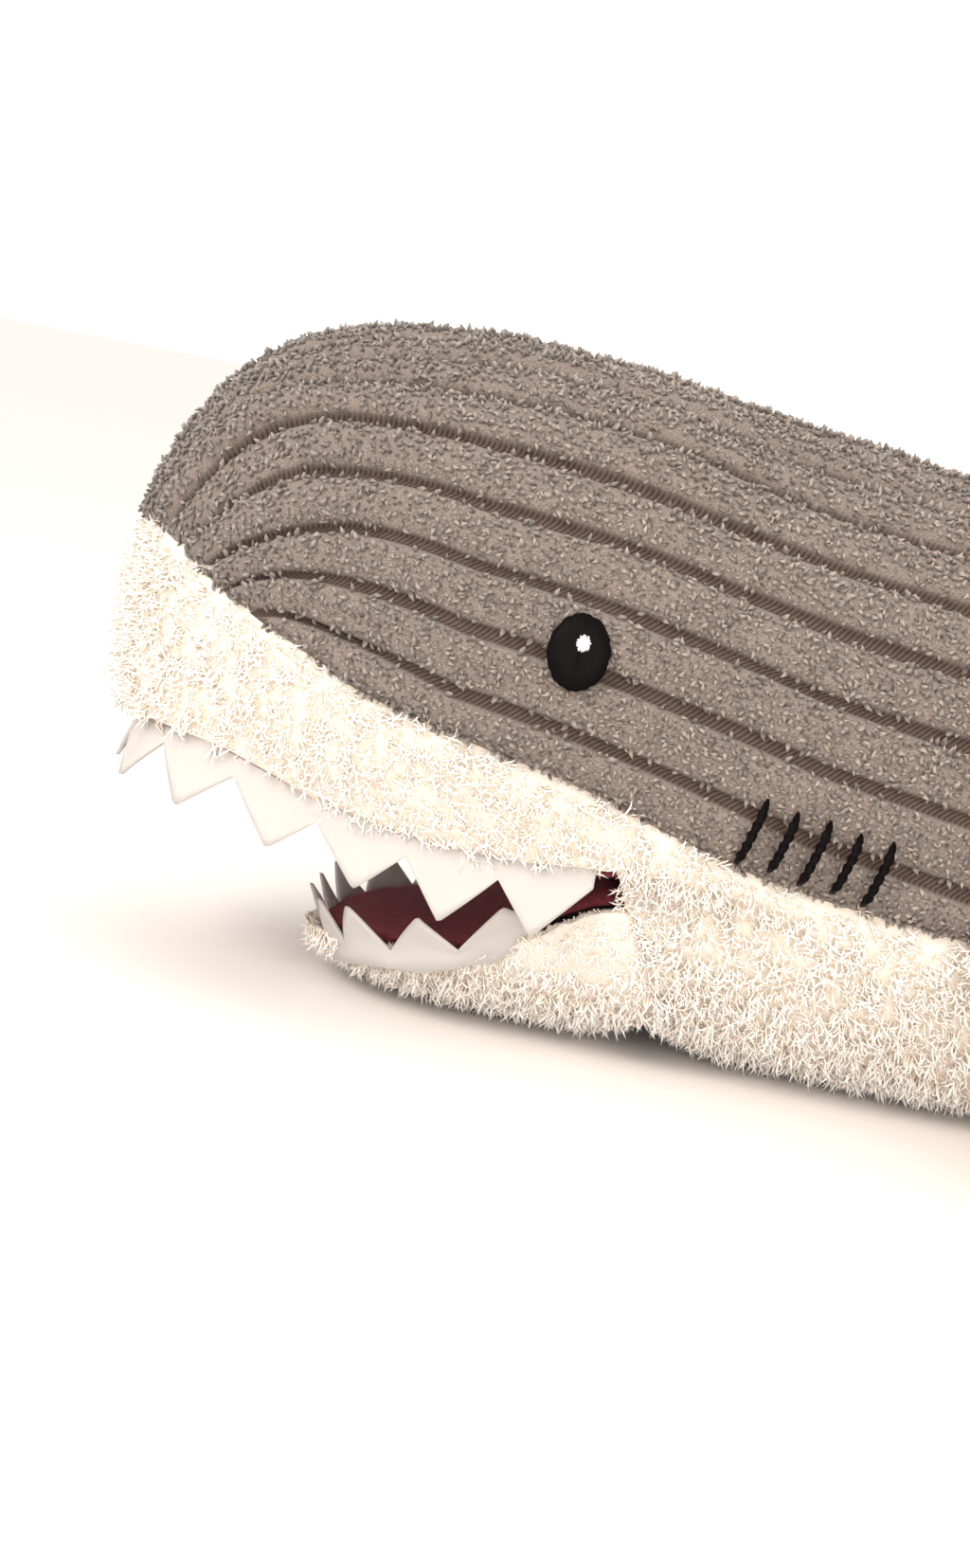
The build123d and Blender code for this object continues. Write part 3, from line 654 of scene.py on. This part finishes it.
def set_pile(mesh, nap, **masks):
    """Stores the pile masks and the way the pile lies."""
    for key, values in masks.items():
        mesh.attributes.new(key, "FLOAT", "POINT").data.foreach_set("value", np.array(values, float))
    mesh.attributes.new("nap", "FLOAT_VECTOR", "POINT").data.foreach_set(
        "vector", np.broadcast_to(np.array(nap, float), (len(mesh.vertices), 3)).ravel())


JAW_MIDDLE = (-0.118, 0, 0.034)
RIM_LONG, RIM_WIDE = 0.045, 0.0385      # half the length and width of the mouth's rim
jaw = remeshed("jaw_skin", ["jaw_cover"], voxel=1.1 * MM, relax=6, material=cream_knit)
places, normals = vertex_arrays(jaw.data)
hinge = Vector(joints["jaw_open"]["pos_m"])
cheek_x, cheek_z = zip(*reversed(CHEEK))
# behind the mouth's corners the shell is drawn in under the cheeks
behind = np.clip((places[:, 0] - np.interp(places[:, 2], cheek_z, cheek_x) - 0.0005) / 0.004, 0, 1)
plump = np.array([wander(p[0] * 30 + 7, p[1] * 30, p[2] * 40) for p in places])
shift = 1.0 * MM * plump - 1.7 * MM
places += normals * shift[:, None]
places[:, 1] *= 1 - 0.2 * behind
places[:, 2] += (hinge.z - places[:, 2]) * 0.2 * behind
jaw.data.vertices.foreach_set("co", places.ravel())
# pile grows on the outside and over the rim, not in the hollow or under the cheeks
from_mouth = places - np.array(JAW_MIDDLE)
outside = (from_mouth * normals).sum(axis=1) / np.linalg.norm(from_mouth, axis=1)
rim = (np.abs(places[:, 0] - JAW_MIDDLE[0]) / RIM_LONG) ** 2.6 \
    + (np.abs(places[:, 1]) / RIM_WIDE) ** 2.6 > 0.8
set_pile(jaw.data, (0.2, 0.0, -0.4),
         cream_pile=np.where(((outside > 0.05) | (rim & (normals[:, 2] > 0.1))) & (behind < 0.9), 1.0, 0.0))
grow_pile(jaw, 8)
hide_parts("jaw_cover", "jaw_filling")
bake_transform(jaw)

# ------------------------------------------------------------
# Mouth lining: maroon velour, one sheet over the palate and one in the lower jaw. Each is sewn
# to the lip all round and lies slack on the stuffing behind it.
# ------------------------------------------------------------
# velour, its nap raised by brushing: dark and matt, a fine speckle of its own fibres, broad lighter and
# darker patches of painted sheen where the nap lies another way, and a red sheen
velour, tree, shader = new_material("maroon velour", roughness=0.8, sheen=0.7)
shader.inputs["Sheen Roughness"].default_value = 0.4
shader.inputs["Sheen Tint"].default_value = linear("B0505C")
nap_noise = node(tree, "ShaderNodeTexNoise", Scale=1400.0, Detail=2.0)
# broad patches: painted sheen where the nap lies another way
nap_sheen_patches = node(tree, "ShaderNodeTexNoise", Scale=70.0, Detail=3.0)
fibre_and_sheen = node(tree, "ShaderNodeMath", {"operation": "MULTIPLY_ADD"}, i0=nap_noise.outputs["Fac"], i1=0.5,
              i2=nap_sheen_patches.outputs["Fac"])
tree.links.new(ramp(tree, fibre_and_sheen.outputs[0], (0.5, "431519"), (0.75, "5E2129"), (0.95, "762D36")),
               shader.inputs["Base Color"])
bump = node(tree, "ShaderNodeBump", Strength=0.5, Distance=0.0003, Height=nap_noise.outputs["Fac"])
tree.links.new(bump.outputs[0], shader.inputs["Normal"])

for name, cad, body in (("palate", "palate_lining", "torso"), ("jaw_pocket", "jaw_lining", "jaw")):
    lining = remeshed(name, [cad], voxel=0.9 * MM, relax=8, material=velour)
    places, normals = vertex_arrays(lining.data)
    plump = np.array([wander(p[0] * 45, p[1] * 45, p[2] * 45) for p in places])
    places += normals * (0.5 * MM * plump)[:, None]
    lining.data.vertices.foreach_set("co", places.ravel())
    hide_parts(cad)
    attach(lining, body)

# ------------------------------------------------------------
# Teeth: white craft felt cut in a zigzag, one strip sewn inside each lip. The cut edges are soft
# and each tooth leans out a little differently.
# ------------------------------------------------------------
# pressed wool felt: dull white, its fibres just showing
felt = fibrous("white craft felt", 0.95, 0.15, 1500.0, (0.3, "CBC2BC"), (0.6, "DED8D3"),
               (0.7, 0.0003), Detail=3.0, Distortion=1.5)

FELT = 1.0 * MM             # thickness
TOOTH_STEPS = 22            # points along one tooth
lip_line = np.array([sections[i][1][np.searchsorted(sections[i][0], ends[i] - 1e-6) - 1]
                     for i in range(len(stations)) if in_mouth[i]])
lip_line = lip_line[np.argsort(lip_line[:, 0])]
JAW_LIP = [(-0.170, 0.008), (-0.161, 0.0086), (-0.151, 0.011), (-0.141, 0.0126), (-0.130, 0.017),
           (-0.121, 0.024), (-0.114, 0.0274)]


def close_ends(piece):
    """Fills the open ends of a piece made from a grid, with all its faces outwards."""
    closed = bmesh.new()
    closed.from_mesh(piece.data)
    bmesh.ops.holes_fill(closed, edges=closed.edges)
    bmesh.ops.recalc_face_normals(closed, faces=closed.faces)
    closed.to_mesh(piece.data)
    closed.free()


def tooth_strip(name, cad, body, count, centre_x, square, root_z, drop, flare, outward, seed):
    """Zigzag strip round a superellipse row that fills the CAD strip's box."""
    low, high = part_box(cad)
    length, width = centre_x - low.x, (high.y - low.y) / 2 - FELT
    turns = np.radians(np.linspace(-90, 90, 721))
    row = np.stack([centre_x - length * np.abs(np.cos(turns)) ** (2 / square),
                    width * np.sign(np.sin(turns)) * np.abs(np.sin(turns)) ** (2 / square)], axis=1)
    run = np.concatenate([[0], np.cumsum(np.linalg.norm(np.diff(row, axis=0), axis=1))])
    steps = count * TOOTH_STEPS + 1
    at = np.linspace(0, run[-1], steps)
    path = np.stack([np.interp(at, run, row[:, c]) for c in (0, 1)], axis=1)
    tangent = np.gradient(path, axis=0)
    tangent /= np.linalg.norm(tangent, axis=1, keepdims=True)
    out = np.stack([tangent[:, 1], -tangent[:, 0]], axis=1)
    out *= np.sign((out * (path - np.array([centre_x, 0]))).sum(axis=1, keepdims=True))
    points_to = -1 if body == "torso" else 1        # down in the upper lip, up in the jaw
    rows = []
    for k in range(steps):
        tooth, share = divmod(k / TOOTH_STEPS, 1.0)
        uneven = wander(tooth * 3.7 + seed, 0.5, seed)
        apex = 0.5 + 0.12 * uneven
        peak = share / apex if share < apex else (1 - share) / (1 - apex)
        deep = 0.0014 + drop * (1 + 0.14 * uneven) * min(peak, 0.965)
        root = root_z(path[k, 0])
        lean = flare * (1 + 0.5 * wander(tooth * 2.3, seed, 9.1))
        loop = []
        for side, levels in ((1, (-0.25, 0.15, 0.45, 0.75, 0.97)), (-1, (0.97, 0.75, 0.45, 0.15, -0.25))):
            for level in levels:
                thin = 0.5 * FELT * side * (0.55 if level > 0.9 else 1.0)
                wave = 0.5 * MM * wander(at[k] * 90, level * 2, seed)
                push = outward(path[k, 0]) + thin + wave + lean * max(level, 0) ** 1.5 * deep
                z = root + points_to * (level * deep if level > 0 else -0.0016)
                loop.append((path[k, 0] + out[k, 0] * push, path[k, 1] + out[k, 1] * push, z))
        rows.append(loop + [loop[0]])
    order = slice(None, None, -points_to)
    strip = grid_object(name, [(np.array(rows)[:, order], {})], felt)
    close_ends(strip)
    strip.data.shade_smooth()
    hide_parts(cad)
    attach(strip, body)


tooth_strip("upper_tooth_strip", "upper_teeth", "torso", count=14, centre_x=-0.118, square=3.0,
            root_z=lambda x: float(np.interp(x, lip_line[:, 0], lip_line[:, 2])) + 0.0002,
            drop=7.4 * MM, flare=0.3, outward=lambda x: 0.9 * MM, seed=2.0)
tooth_strip("lower_tooth_strip", "lower_teeth", "jaw", count=10, centre_x=-0.124, square=2.6,
            root_z=lambda x: float(np.interp(x, *zip(*JAW_LIP))) - 0.0022,
            drop=6.6 * MM, flare=0.62, seed=6.0,
            outward=lambda x: -float(np.interp(x, (-0.160, -0.146, -0.124), (0.0052, 0.0046, 0.0018))))

# ------------------------------------------------------------
# Embroidered eyes: upright satin stitches in glossy black thread, with an uneven edge, and on each a
# small white patch of painted highlight. The five gill stitches behind are bars of the same black thread.
# ------------------------------------------------------------
# embroidery thread: its filaments are too fine to see and only break up its shine
THREAD_SCALE = 2200.0
black_thread = fibrous("black rayon thread", 0.5, 0.0, THREAD_SCALE, (0.35, "050303"), (0.7, "0F0B0C"))
black_thread.node_tree.nodes["Principled BSDF"].inputs["Specular IOR Level"].default_value = 0.05
# white patch for the eyes' glint, drawn with a thread texture: a painted highlight
highlight_white = fibrous("white rayon thread", 0.45, 0.0, THREAD_SCALE, (0.35, "E9DEE0"), (0.7, "FFF8FA"))

cover_tree = cad_tree(UPPER_NODES)


def on_cover(x, z, sign):
    """Point and normal of the back cover beside this place in the side view."""
    hit, normal, *_ = cover_tree[0].ray_cast(Vector((x, sign * 0.2, z)), Vector((0, -sign, 0)))
    return hit, (normal if normal.y * sign > 0 else -normal)


def satin_patch(name, cad, proud, pitch, slant, ragged, lift, share=1.0):
    """Low dome of parallel stitches over the middle of a CAD patch, following the cover."""
    low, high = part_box(cad)
    sign = 1 if low.y + high.y > 0 else -1
    wide, tall = (high.x - low.x) / 2 * share, (high.z - low.z) / 2 * share
    cx, cz = (low.x + high.x) / 2, (low.z + high.z) / 2
    rings, spokes = 26, 96
    rows = []
    for r in range(rings + 1):
        row = []
        for s in range(spokes + 1):
            angle = 2 * math.pi * (s % spokes) / spokes
            reach = r / rings
            edge = 1 + ragged * wander(math.cos(angle) * 6, math.sin(angle) * 6, 2.2 * sign) \
                + ragged * 0.7 * wander(math.cos(angle) * 22, math.sin(angle) * 22, 4.0)
            x = wide * reach * edge * math.cos(angle)
            z = tall * reach * edge * math.sin(angle)
            point, normal = on_cover(cx + x, cz + z, sign)
            ridge = abs(math.sin(math.pi * (x * math.cos(slant) + z * math.sin(slant)) / pitch))
            height = lift + proud * (1 - reach ** 5) + 0.16 * MM * ridge * (1 - reach ** 8)
            if r == rings:
                height = lift - 1.5 * MM
            row.append(point + normal * height)
        rows.append(row)
    order = slice(None, None, sign)
    return grid_object(name, [(np.array(rows)[:, order], {})], black_thread)


for side in ("left", "right"):
    eye = satin_patch(f"sewn_eye_{side}", f"eye_{side}", proud=0.9 * MM, pitch=0.42 * MM, slant=0.05,
                      ragged=0.035, lift=1.0 * MM)
    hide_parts(f"eye_{side}")
    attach(eye, "torso")
    # the glint: a painted highlight, a white patch on the eye
    glint = satin_patch(f"sewn_glint_{side}", f"eye_glint_{side}", proud=0.7 * MM, pitch=0.36 * MM,
                        slant=0.3, ragged=0.3, lift=1.7 * MM, share=0.78)
    glint.data.materials[0] = highlight_white
    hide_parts(f"eye_glint_{side}")
    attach(glint, "torso")


BAR_STEPS, BAR_SIDES = 32, 12


def thread_bar(start, end, normal, thick, twists, proud):
    """Grid of a short twisted bar of thread, its ends pulled down into the cloth."""
    along = end - start
    side = along.cross(normal).normalized()
    rows = []
    for k in range(BAR_STEPS + 1):
        t = k / BAR_STEPS
        sunk = thick * (0.9 if k in (0, BAR_STEPS) else 0)
        middle = start + along * t + normal * (proud * min(1, 5 * t * (1 - t)) - sunk)
        ring = []
        for s in range(BAR_SIDES + 1):
            a = 2 * math.pi * (s % BAR_SIDES) / BAR_SIDES
            swell = thick * (1 + 0.22 * math.sin(2 * a + 2 * math.pi * twists * t)) \
                * (0.25 + 0.75 * min(1, 9 * t, 9 * (1 - t)))
            ring.append(middle + (side * math.cos(a) + normal * math.sin(a)) * swell)
        rows.append(ring)
    return rows


GILLS, GILL_STEP, GILL_FALL = 5, 4.7 * MM, 0.65 * MM
FIRST_GILL = (-0.0978, 0.0416)
GILL_LEAN, GILL_HALF = math.radians(15), 5.1 * MM
for side, sign in (("left", -1), ("right", 1)):
    grids = []
    for g in range(GILLS):
        mid_x, mid_z = FIRST_GILL[0] + g * GILL_STEP, FIRST_GILL[1] - g * GILL_FALL
        reach = GILL_HALF * (1 + 0.05 * math.sin(3.1 * g + 1))
        (low, low_normal), (high, high_normal) = [
            on_cover(mid_x + u * reach * math.sin(GILL_LEAN), mid_z + u * reach * math.cos(GILL_LEAN), sign)
            for u in (-1, 1)]
        rows = thread_bar(low, high, (low_normal + high_normal).normalized(), thick=0.62 * MM,
                          twists=6.5, proud=2.0 * MM)
        grids.append((np.array(rows), {}))
    gills = grid_object(f"sewn_gills_{side}", grids, black_thread)
    close_ends(gills)
    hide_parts(f"gill_stitches_{side}")
    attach(gills, "torso")

# ------------------------------------------------------------
# Fins: small stuffed pockets, blown up with cloth pressure, with cord ribs on the grey sides and
# sherpa under the pectoral fins. Each is sewn on at its root, where it bends.
# ------------------------------------------------------------
FIN_VOXEL = 1.9 * MM
STUFFING = 5.0              # pressure inside a fin while it is blown up
STUFFING_FRAMES = 20


def stuffed_fin(name, nodes, cap, let_in):
    """Pocket from a fin's CAD solids, swollen by its stuffing. let_in moves its root into the seam."""
    fin = remeshed(name, nodes, FIN_VOXEL, 4, grey_ground)
    before, _ = vertex_arrays(fin.data)
    before += let_in(before)
    fin.data.vertices.foreach_set("co", before.ravel())
    cloth = fin.modifiers.new("stuffing", "CLOTH")
    cloth.settings.use_pressure = True
    cloth.settings.uniform_pressure_force = STUFFING
    cloth.settings.effector_weights.gravity = 0
    for frame_number in range(1, STUFFING_FRAMES + 1):
        bpy.context.scene.frame_set(frame_number)
    swollen = bpy.data.meshes.new_from_object(fin.evaluated_get(bpy.context.evaluated_depsgraph_get()))
    after, _ = vertex_arrays(swollen)
    fin.modifiers.clear()
    old, fin.data = fin.data, swollen
    bpy.data.meshes.remove(old)
    moved = after - before
    far = np.linalg.norm(moved, axis=1, keepdims=True)
    places = before + moved * np.minimum(1, cap / np.maximum(far, 1e-9))
    fin.data.vertices.foreach_set("co", places.ravel())
    bpy.context.scene.frame_set(1)
    fin.data.name = name
    return fin


def subdivided(piece):
    """One level of subdivision, applied."""
    finer = piece.modifiers.new("finer", "SUBSURF")
    finer.levels = finer.render_levels = 1
    keep_result(piece)
    piece.data.shade_smooth()


def dress_fin(piece, grey, phase, seed, nap, thin):
    """Ribs where the fin is grey, sherpa where it isn't. thin is the axis the fin is thin along."""
    subdivided(piece)
    places, normals = vertex_arrays(piece.data)
    grey_mask, phases = grey(places), phase(places)
    inside = np.minimum(phases % 1, 1 - phases % 1)
    crown = np.clip((inside - 0.085) / 0.16, 0, 1)
    crown = np.sqrt(1 - (1 - crown) ** 2)
    broad = np.clip((np.abs(normals[:, thin]) - 0.3) / 0.5, 0, 1)
    height = np.where(grey_mask > 0.5, -1.3 * MM * broad * (1 - crown) - 0.3 * MM, -0.6 * MM)
    places += normals * height[:, None]
    piece.data.vertices.foreach_set("co", places.ravel())
    set_pile(piece.data, nap, grey_pile=grey_mask * np.clip((inside - 0.1) / 0.05, 0, 1),
             cream_pile=(grey_mask < 0.5).astype(float))
    cord = piece.data.uv_layers.new(name="cord")
    loops = np.zeros(len(piece.data.loops), int)
    piece.data.loops.foreach_get("vertex_index", loops)
    cord.data.foreach_set("uv", np.stack([places[:, 0], phases], axis=1)[loops].ravel())
    piece.data.materials.append(cream_knit)
    corners = [p.vertices[0] for p in piece.data.polygons]
    piece.data.polygons.foreach_set("material_index", (grey_mask[corners] < 0.5).astype(int))
    grow_pile(piece, seed, grey_size=0.85, cream_size=0.8)


def all_grey(places):
    """Cord on every side."""
    return np.ones(len(places))


def near_root(distance):
    """1 at a fin's root line, falling to 0 about 8 mm out from it."""
    return np.clip(1 - (distance + 0.002) / 0.010, 0, 1)


lean_joint = joints["dorsal_fin_lean"]
fin_hinge = Vector(joints["tail_fin_bend"]["pos_m"])


def into_back(places):
    """Lets the dorsal fin's root, which follows its sloping joint line, into the back."""
    root = lean_joint["pos_m"][2] + (places[:, 0] - lean_joint["pos_m"][0]) * lean_joint["axis"][2] \
        / lean_joint["axis"][0]
    near = near_root(places[:, 2] - root)
    return np.stack([0 * near, 0 * near, -4.5 * MM * near], axis=1)


def into_stock(places):
    """Lets the tail fin's root into the tail stock."""
    near = near_root(places[:, 0] - fin_hinge.x)
    return np.stack([-5.0 * MM * near, 0 * near, 0 * near], axis=1)


dorsal = stuffed_fin("dorsal_pocket", ["dorsal_fin_panel_left", "dorsal_fin_panel_right",
                                       "dorsal_fin_filling"], cap=3.0 * MM, let_in=into_back)
dress_fin(dorsal, all_grey, phase=lambda p: (p[:, 2] + 0.22 * p[:, 0]) / RIB, seed=21,
          nap=(0.3, 0, -0.3), thin=1)
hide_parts("dorsal_fin_panel_left", "dorsal_fin_panel_right", "dorsal_fin_filling")
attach(dorsal, "dorsal_fin")

tail = stuffed_fin("tail_pocket", ["tail_fin_panel_left", "tail_fin_panel_right", "tail_fin_filling"],
                   cap=3.0 * MM, let_in=into_stock)
dress_fin(tail, all_grey, phase=lambda p: (p[:, 2] - 0.044) / RIB + 0.5, seed=22,
          nap=(0.3, 0, -0.3), thin=1)
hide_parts("tail_fin_panel_left", "tail_fin_panel_right", "tail_fin_filling")
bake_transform(tail)

for side, sign in (("left", -1), ("right", 1)):
    nodes = [f"pectoral_fin_{side}_{part}" for part in ("top", "underside", "filling")]
    root_y = abs(joints[f"pectoral_{side}_flap"]["pos_m"][1])

    def into_side(places):
        near = near_root(np.abs(places[:, 1]) - root_y)
        return np.stack([0 * near, -sign * 4.5 * MM * near, 1.2 * MM * near], axis=1)

    fin = stuffed_fin(f"pectoral_pocket_{side}", nodes, cap=2.5 * MM, let_in=into_side)
    upper_tree = cad_tree(nodes[:2])

    def grey_top(places):
        nearest = [upper_tree[1][upper_tree[0].find_nearest(Vector(p))[2]] for p in places]
        return (np.array(nearest) == 0).astype(float)

    dress_fin(fin, grey_top, phase=lambda p: np.abs(p[:, 1]) / RIB, seed=23, nap=(0.3, 0, -0.1), thin=2)
    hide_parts(*nodes)
    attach(fin, f"pectoral_fin_{side}")

# ------------------------------------------------------------
# Hand-sewn closing and the blank label, both in the right seam. The closing is a row of slanting
# ladder stitches in cream thread over the hole that the toy was stuffed through. The label is a
# short loop of white satin ribbon caught in the seam by its upper edge.
# ------------------------------------------------------------
cream_thread = fibrous("cream polyester thread", 0.5, 0.0, THREAD_SCALE, (0.35, "D8CBB8"), (0.7, "F2E8DA"))
low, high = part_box("closing_stitches")
STITCHES, HALF_STITCH = 10, 2.6 * MM
grids = []
step = (high.x - low.x - 0.0012) / (STITCHES - 1)
seam_z = [on_body(i, np.array([SEAM[i]]))[0][0, 2] for i in range(first_upper, len(stations))]
for k in range(STITCHES):
    x = low.x + 0.0006 + step * k
    z = float(np.interp(x, STATION_X[first_upper:], seam_z))
    top, top_normal = on_cover(x, z + HALF_STITCH, 1)
    bottom, *_ = body_tree[0].ray_cast(Vector((x, 0.2, z - HALF_STITCH)), Vector((0, -1, 0)))
    rows = thread_bar(bottom, top, top_normal, thick=0.5 * MM, twists=3.0, proud=2.2 * MM)
    grids.append((np.array(rows), {}))
closing = grid_object("closing_thread", grids, cream_thread)
close_ends(closing)
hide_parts("closing_stitches")
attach(closing, "torso")

# ribbon satin: smooth, with a soft sheen
satin = fibrous("woven satin label", 0.4, 0.3, 1800.0, (0.3, "E6E2DE"), (0.7, "FBF9F7"))
LABEL_COLUMNS, LABEL_ROWS = 24, 13
low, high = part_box("sewn_label")
wide = high.x - low.x
rows = []
for k in range(LABEL_COLUMNS + 1):
    u = k / LABEL_COLUMNS - 0.5
    loop = []
    for side, levels in ((1, np.linspace(0, 1, LABEL_ROWS)), (-1, np.linspace(1, 0, LABEL_ROWS))):
        for v in levels:
            y = low.y + (high.y - low.y) * (v ** 0.9)
            z = high.z - (high.z - low.z) * v
            curl = 0.8 * MM * math.sin(math.pi * v) * math.cos(2.4 * u) \
                + 0.25 * MM * side * (0.4 if v > 0.95 else 1)
            loop.append(((low.x + high.x) / 2 + u * wide, y - curl * 0.4, z + curl))
    rows.append(loop + [loop[0]])
label = grid_object("blank_label", [(np.array(rows), {})], satin)
close_ends(label)
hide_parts("sewn_label")
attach(label, "torso")

# ------------------------------------------------------------
# Floor, light and camera: pale paper under the toy, an even pale surround, one soft lamp high in
# front and a weaker one beside it.
# ------------------------------------------------------------
scene = bpy.context.scene
scene.view_settings.view_transform = "Standard"
FLOOR_REACH = 30
floor_mesh = bpy.data.meshes.new("floor")
corners = [(x * FLOOR_REACH, y * FLOOR_REACH, 0) for x, y in ((-1, -1), (1, -1), (1, 1), (-1, 1))]
floor_mesh.from_pydata(corners, [], [(0, 1, 2, 3)])
floor = placed("floor", floor_mesh)
paper, tree, shader = new_material("pale matt paper", roughness=0.9)
shader.inputs["Base Color"].default_value = linear("EDE7E3")
floor_mesh.materials.append(paper)

world = bpy.data.worlds.new("studio")
scene.world = world
world.use_nodes = True
surround = world.node_tree.nodes["Background"]
surround.inputs["Color"].default_value = linear("FFFDFA")
surround.inputs["Strength"].default_value = 1.2


def soft_light(name, place, target, size, power, colour):
    """Round soft lamp, its size in metres and its power in watts."""
    lamp = bpy.data.lights.new(name, "AREA")
    lamp.shape, lamp.size, lamp.energy, lamp.color = "DISK", size, power, linear(colour)[:3]
    holder = placed(name, lamp)
    holder.location = place
    holder.rotation_euler = (Vector(target) - Vector(place)).to_track_quat("-Z", "Y").to_euler()


soft_light("key", (-0.75, -0.75, 0.75), (-0.12, 0, 0.05), size=0.5, power=9, colour="FFF9F0")
soft_light("fill", (0.0, -1.0, 0.22), (-0.08, 0, 0.04), size=0.7, power=7, colour="FFFCF8")

TARGET = Vector((-0.1362, 0, 0.0344))       # what the camera looks at, on the shark's centre plane
DISTANCE, ELEVATION, ROLL = 0.40, math.radians(8.5), math.radians(11)
back = Vector((0, -math.cos(ELEVATION), math.sin(ELEVATION)))
right = Vector((1, 0, 0))
up = back.cross(right)
camera_data = bpy.data.cameras.new("camera")
camera_data.sensor_fit = "VERTICAL"
camera_data.sensor_height = 36.0
camera_data.lens = 57.4
camera_data.clip_start = 0.01
camera = placed("camera", camera_data)
across = right * math.cos(ROLL) + up * math.sin(ROLL)
upright = -right * math.sin(ROLL) + up * math.cos(ROLL)
camera.matrix_world = Matrix.Translation(TARGET + back * DISTANCE) @ Matrix(
    (across, upright, back)).transposed().to_4x4()
scene.camera = camera

for helper in (grey_clump, cream_clump):
    bpy.data.objects.remove(helper)
